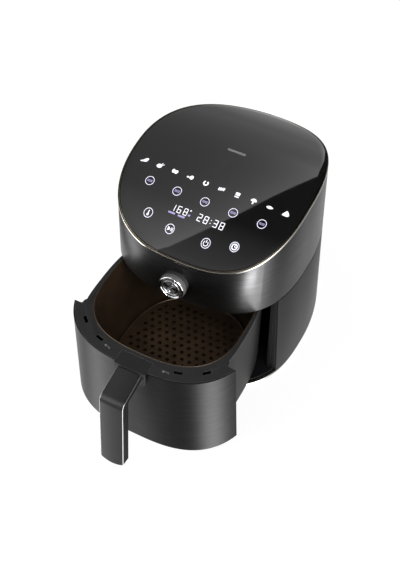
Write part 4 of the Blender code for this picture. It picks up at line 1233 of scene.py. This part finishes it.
# ---- crisper plate
def hole_places():
    """Middles of the holes: staggered rows inside the plate's edge."""
    half_x, front, back, widest = BASKET_PLAN[:4]
    for row in range(-7, 8):
        y = HOLE_CENTRE_Y + HOLE_PITCH * 0.87 * row
        depth = back if y > widest else front
        for column in range(-8, 9):
            x = HOLE_PITCH * (column + 0.5 * (row % 2))
            across, along = abs(x) / (half_x - HOLE_MARGIN), abs(y - widest) / (depth - HOLE_MARGIN)
            if across ** 3.0 + along ** 3.0 < 1.0:
                yield x, y


def build_crisper():
    low, high = heights("crisper_plate")
    lip = high + CRISPER_LIP
    edge = [(0.0, low), (0.0, lip - 0.0004), (0.0002, lip), (0.0010, lip), (0.0012, lip - 0.0004),
            (0.0012, high + 0.0006), (0.0018, high)]
    loops = stack(BASKET_PLAN, [(CRISPER_INSET + extra, z) for extra, z in edge], DRAWER_Y)
    plate = loft("perforated_plate", loops, NON_STICK, capped=True)
    bm = bmesh.new()
    for x, y in hole_places():
        bmesh.ops.create_cone(bm, cap_ends=True, segments=20, radius1=HOLE_RADIUS, radius2=HOLE_RADIUS,
                              depth=0.02, matrix=Matrix.Translation((x, y + DRAWER_Y, low)))
    cut(plate, finish_mesh("cutter", bm, None))
    install(plate, "crisper", "non_stick", "crisper_plate")

    for number in range(1, 5):
        node = f"plate_bumper_{number}"
        base, top = heights(node)
        shape = mm((3, 0), (4, 0.3), (4.5, 1), (4.5, 3), (4, 3.4), (4, 5), (4.5, 5.4))
        profile = [(radius, base + rise) for radius, rise in shape] + [(shape[-1][0], top)]
        item = turned(f"bumper_{number}", profile, SILICONE, upright_at(node), count=40)
        install(item, "crisper", "silicone", node)


# ---- carried-over CAD nodes
def paint_carried_nodes():
    paints = {"matte_black": MATTE, "satin_black": SATIN, "sheet_steel": STEEL, "grey_plastic": GREY,
              "heater_steel": HEATER, "circuit_board": BOARD, "motor_steel": MOTOR, "rubber": RUBBER,
              "dark_enamel": ENAMEL, "silicone": SILICONE, "non_stick": NON_STICK, "chrome": CHROME,
              "champagne": CHAMPAGNE, "black_glass": GLASS, "black_steel": BLACK_STEEL_LIGHTER, "spun_metal": SPUN}
    slots = {row["node"]: row["material_slot"] for row in frame["record"]["subparts"]}
    for name, item in frame["nodes"].items():
        if item.hide_render:
            continue
        item.data.materials.clear()
        item.data.materials.append(paints[slots[name]])


# ---- stage, light, camera
def build_stage():
    bm = bmesh.new()
    bmesh.ops.create_grid(bm, x_segments=1, y_segments=1, size=12.0)
    floor = finish_mesh("studio_floor", bm, None)
    paint = Paint("floor_white", (0.20, 0.20, 0.20), 0.9, 0.0, Specular_IOR_Level=0.0)
    paint.set("Emission Color", (1.0, 1.0, 1.0, 1.0))
    paint.set("Emission Strength", 0.94)
    floor.data.materials.append(paint.material)
    floor.visible_glossy = False


def softbox(name, place, target, width, height, radiance, color=WHITE):
    """Rectangular light at place, facing target, of the given brightness."""
    light = bpy.data.lights.new(name, "AREA")
    light.shape = "RECTANGLE"
    light.size, light.size_y = width, height
    light.energy = radiance * math.pi * width * height
    light.color = color
    item = bpy.data.objects.new(name, light)
    item.location = place
    item.rotation_euler = (Vector(target) - Vector(place)).to_track_quat("-Z", "Y").to_euler()
    bpy.context.scene.collection.objects.link(item)
    return item


class Sky:
    """Background light worked out from the direction in which a ray leaves the scene."""

    def __init__(self):
        world = bpy.data.worlds.new("studio")
        bpy.context.scene.world = world
        world.use_nodes = True
        world.cycles.sampling_method = "NONE"
        self.tree = world.node_tree
        split = self.tree.nodes.new("ShaderNodeSeparateXYZ")
        source = self.tree.nodes.new("ShaderNodeTexCoord").outputs["Generated"]
        self.tree.links.new(source, split.inputs[0])
        self.x, self.y, self.z = split.outputs
        self.azimuth = self.math("MULTIPLY", self.math("ARCTAN2", self.y, self.x), 180.0 / math.pi)
        self.total = None

    def math(self, operation, *values):
        made = self.tree.nodes.new("ShaderNodeMath")
        made.operation = operation
        for socket, value in zip(made.inputs, values):
            if isinstance(value, bpy.types.NodeSocket):
                self.tree.links.new(value, socket)
            else:
                socket.default_value = value
        return made.outputs[0]

    def ramp(self, value, start, end, low, high):
        made = self.tree.nodes.new("ShaderNodeMapRange")
        self.tree.links.new(value, made.inputs["Value"])
        for name, number in zip(("From Min", "From Max", "To Min", "To Max"), (start, end, low, high)):
            made.inputs[name].default_value = number
        return made.outputs["Result"]

    def product(self, *factors):
        result = factors[0]
        for factor in factors[1:]:
            result = self.math("MULTIPLY", result, factor)
        return result

    def decay(self, value):
        return self.math("POWER", math.e, self.math("MULTIPLY", value, -1.0))

    def lobe(self, value, peak, width):
        """Bell curve of a value about its peak."""
        away = self.math("DIVIDE", self.math("SUBTRACT", value, peak), width)
        return self.decay(self.math("MULTIPLY", away, away))

    def add(self, radiance):
        self.total = self.math("ADD", self.total, radiance) if self.total else radiance

    def finish(self):
        background = self.tree.nodes["Background"]
        background.inputs["Color"].default_value = (1.0, 1.0, 1.0, 1.0)
        self.tree.links.new(self.total, background.inputs["Strength"])


def build_world():
    """A dim studio: a card overhead on the left with one sharp edge, upright strips at the right and
    left, a glow high in front, and the pale table below the horizon."""
    sky = Sky()
    edge = CARD_EDGE[3]
    for factor in CARD_EDGE[2::-1]:
        edge = sky.math("MULTIPLY_ADD", edge, sky.y, factor)
    edge = sky.math("SUBTRACT", edge, sky.ramp(sky.y, 0.85, 0.95, 0.0, 0.04))
    past_edge = sky.math("SUBTRACT", sky.math("MULTIPLY", sky.x, -1.0), edge)
    inside = sky.ramp(past_edge, -0.0005, 0.0005, 0.0, 1.0)
    glow = sky.math("MULTIPLY_ADD", sky.decay(sky.math("DIVIDE", past_edge, 0.035)), 1.1, 0.55)
    height = sky.math("MULTIPLY_ADD", sky.ramp(sky.y, 0.80, 0.95, 0.0, 0.24), 1.0, sky.z)
    sky.add(sky.product(inside, glow, sky.ramp(height, -0.25, 0.35, 0.0, 1.0)))

    # Table, brighter behind and to the left, and the faint light of the room above it
    table = sky.ramp(sky.azimuth, 25.0, 90.0, 0.30, 0.85)
    table_share = sky.ramp(sky.z, -0.55, -0.28, 1.0, 0.0)
    sky.add(sky.product(table, table_share))
    sky.add(sky.ramp(sky.z, -0.55, 0.0, 0.0, ROOM))

    # Upright strips: share of the height, azimuth, width, brightness
    low = sky.ramp(sky.z, 0.20, 0.60, 1.0, 0.0)
    below = sky.ramp(sky.z, -0.30, 0.0, 1.0, 0.0)
    for height, azimuth, width, radiance in ((low, -26.0, 21.0, 4.0), (low, -145.0, 12.0, 3.0),
                                             (below, 125.0, 22.0, 0.8)):
        sky.add(sky.product(height, sky.lobe(sky.azimuth, azimuth, width), radiance))

    # Glow high in front
    sky.add(sky.product(sky.ramp(sky.y, -0.5, -0.02, 0.70, 0.0), sky.ramp(sky.z, 0.35, 0.65, 0.0, 1.0)))
    sky.finish()


def lit_only(light, *names):
    """Let the light reach only these pieces."""
    group = bpy.data.collections.new(light.name + "_pieces")
    for name in names:
        group.objects.link(bpy.data.objects[name])
    light.light_linking.receiver_collection = group


def build_light():
    build_world()
    inside = (0.0, DRAWER_Y - 0.03, 0.08)
    corner = Vector((0.10, HOUSING_Y - 0.12, 0.22))
    strip_way = Vector((math.cos(STRIP_TURN), math.sin(STRIP_TURN), 0.0))
    knob = Vector(JOINTS["knob_turn"]["pos_m"])
    bend = Vector((0.0, DRAWER_Y + FRONT_Y - HANDLE_REACH, RIM_TOP))
    basket = ("inner_basket", "perforated_plate")
    # name, place, target, width, height, brightness, colour, and the only pieces that it reaches
    lights = [
        ("basket_fill_left", (-0.45, DRAWER_Y - 0.30, 0.9), inside, 0.5, 0.5, 9.0, WARM, basket),
        ("basket_fill_right", (0.55, DRAWER_Y - 0.45, 0.9), inside, 0.5, 0.5, 16.0, WARM, basket),
        ("overhead_soft", (-0.9, HOUSING_Y - 1.2, 2.0), (0.0, DRAWER_Y, 0.1), 1.4, 1.0, 1.0, WHITE, ()),
        ("band_strip", corner + strip_way * 0.35 - Vector((0.0, 0.0, 0.12)), corner, 0.10, 0.20, 15.0, WHITE,
         ("upper_band",)),
        ("knob_side", knob + Vector((0.5, -0.35, 0.45)), knob, 0.3, 0.3, 40.0, WHITE,
         ("knob_grip", "knob_ring", "knob_dish", "knob_seat")),
        ("knob_streak", knob + Vector((-0.02, -0.8, 0.10)), knob, 0.10, 0.10, 75.0, WHITE,
         ("knob_dish", "knob_ring")),
        ("handle_soft", bend + Vector((-0.42, -0.94, 0.60)), bend, 0.5, 0.9, 2.6, WHITE,
         ("handle_face", "left_trim_strip", "right_trim_strip", "rim_flange", "bracket_shield")),
        ("edge_line", (1.1, DRAWER_Y + 0.75, 0.75), (0.1, DRAWER_Y, 0.17), 1.0, 0.6, 7.0, WHITE,
         ("rim_flange",)),
    ]
    for *settings, pieces in lights:
        light = softbox(*settings)
        if pieces:
            lit_only(light, *pieces)
        else:
            light.visible_glossy = False


def build_camera():
    """Looks down at the front from the right, as the reference view does."""
    azimuth, elevation, roll = CAMERA_TURN
    forward = Vector((-math.sin(azimuth) * math.cos(elevation), math.cos(azimuth) * math.cos(elevation),
                      -math.sin(elevation)))
    right = Vector((math.cos(azimuth), math.sin(azimuth), 0.0))
    up = right.cross(forward)
    across = math.cos(roll) * right + math.sin(roll) * up
    upright = -math.sin(roll) * right + math.cos(roll) * up
    camera = bpy.data.cameras.new("camera")
    camera.sensor_width = 36.0
    camera.lens = CAMERA_LENS
    camera.clip_start, camera.clip_end = 0.05, 60.0
    item = bpy.data.objects.new("camera", camera)
    turn = Matrix((across, upright, -forward)).transposed().to_4x4()
    item.matrix_world = Matrix.Translation(CAMERA_PLACE) @ turn
    bpy.context.scene.collection.objects.link(item)
    bpy.context.scene.camera = item


def main():
    for build in (build_camera, build_base, build_lower_housing, build_jambs, build_cavity,
                  build_upper_housing, build_trim_ring, build_glass, build_marks, build_knob, build_pan,
                  build_basket, build_rim, build_front, build_handle, build_crisper, paint_carried_nodes,
                  build_stage, build_light):
        build()
    bpy.context.scene.view_settings.view_transform = "Standard"


main()
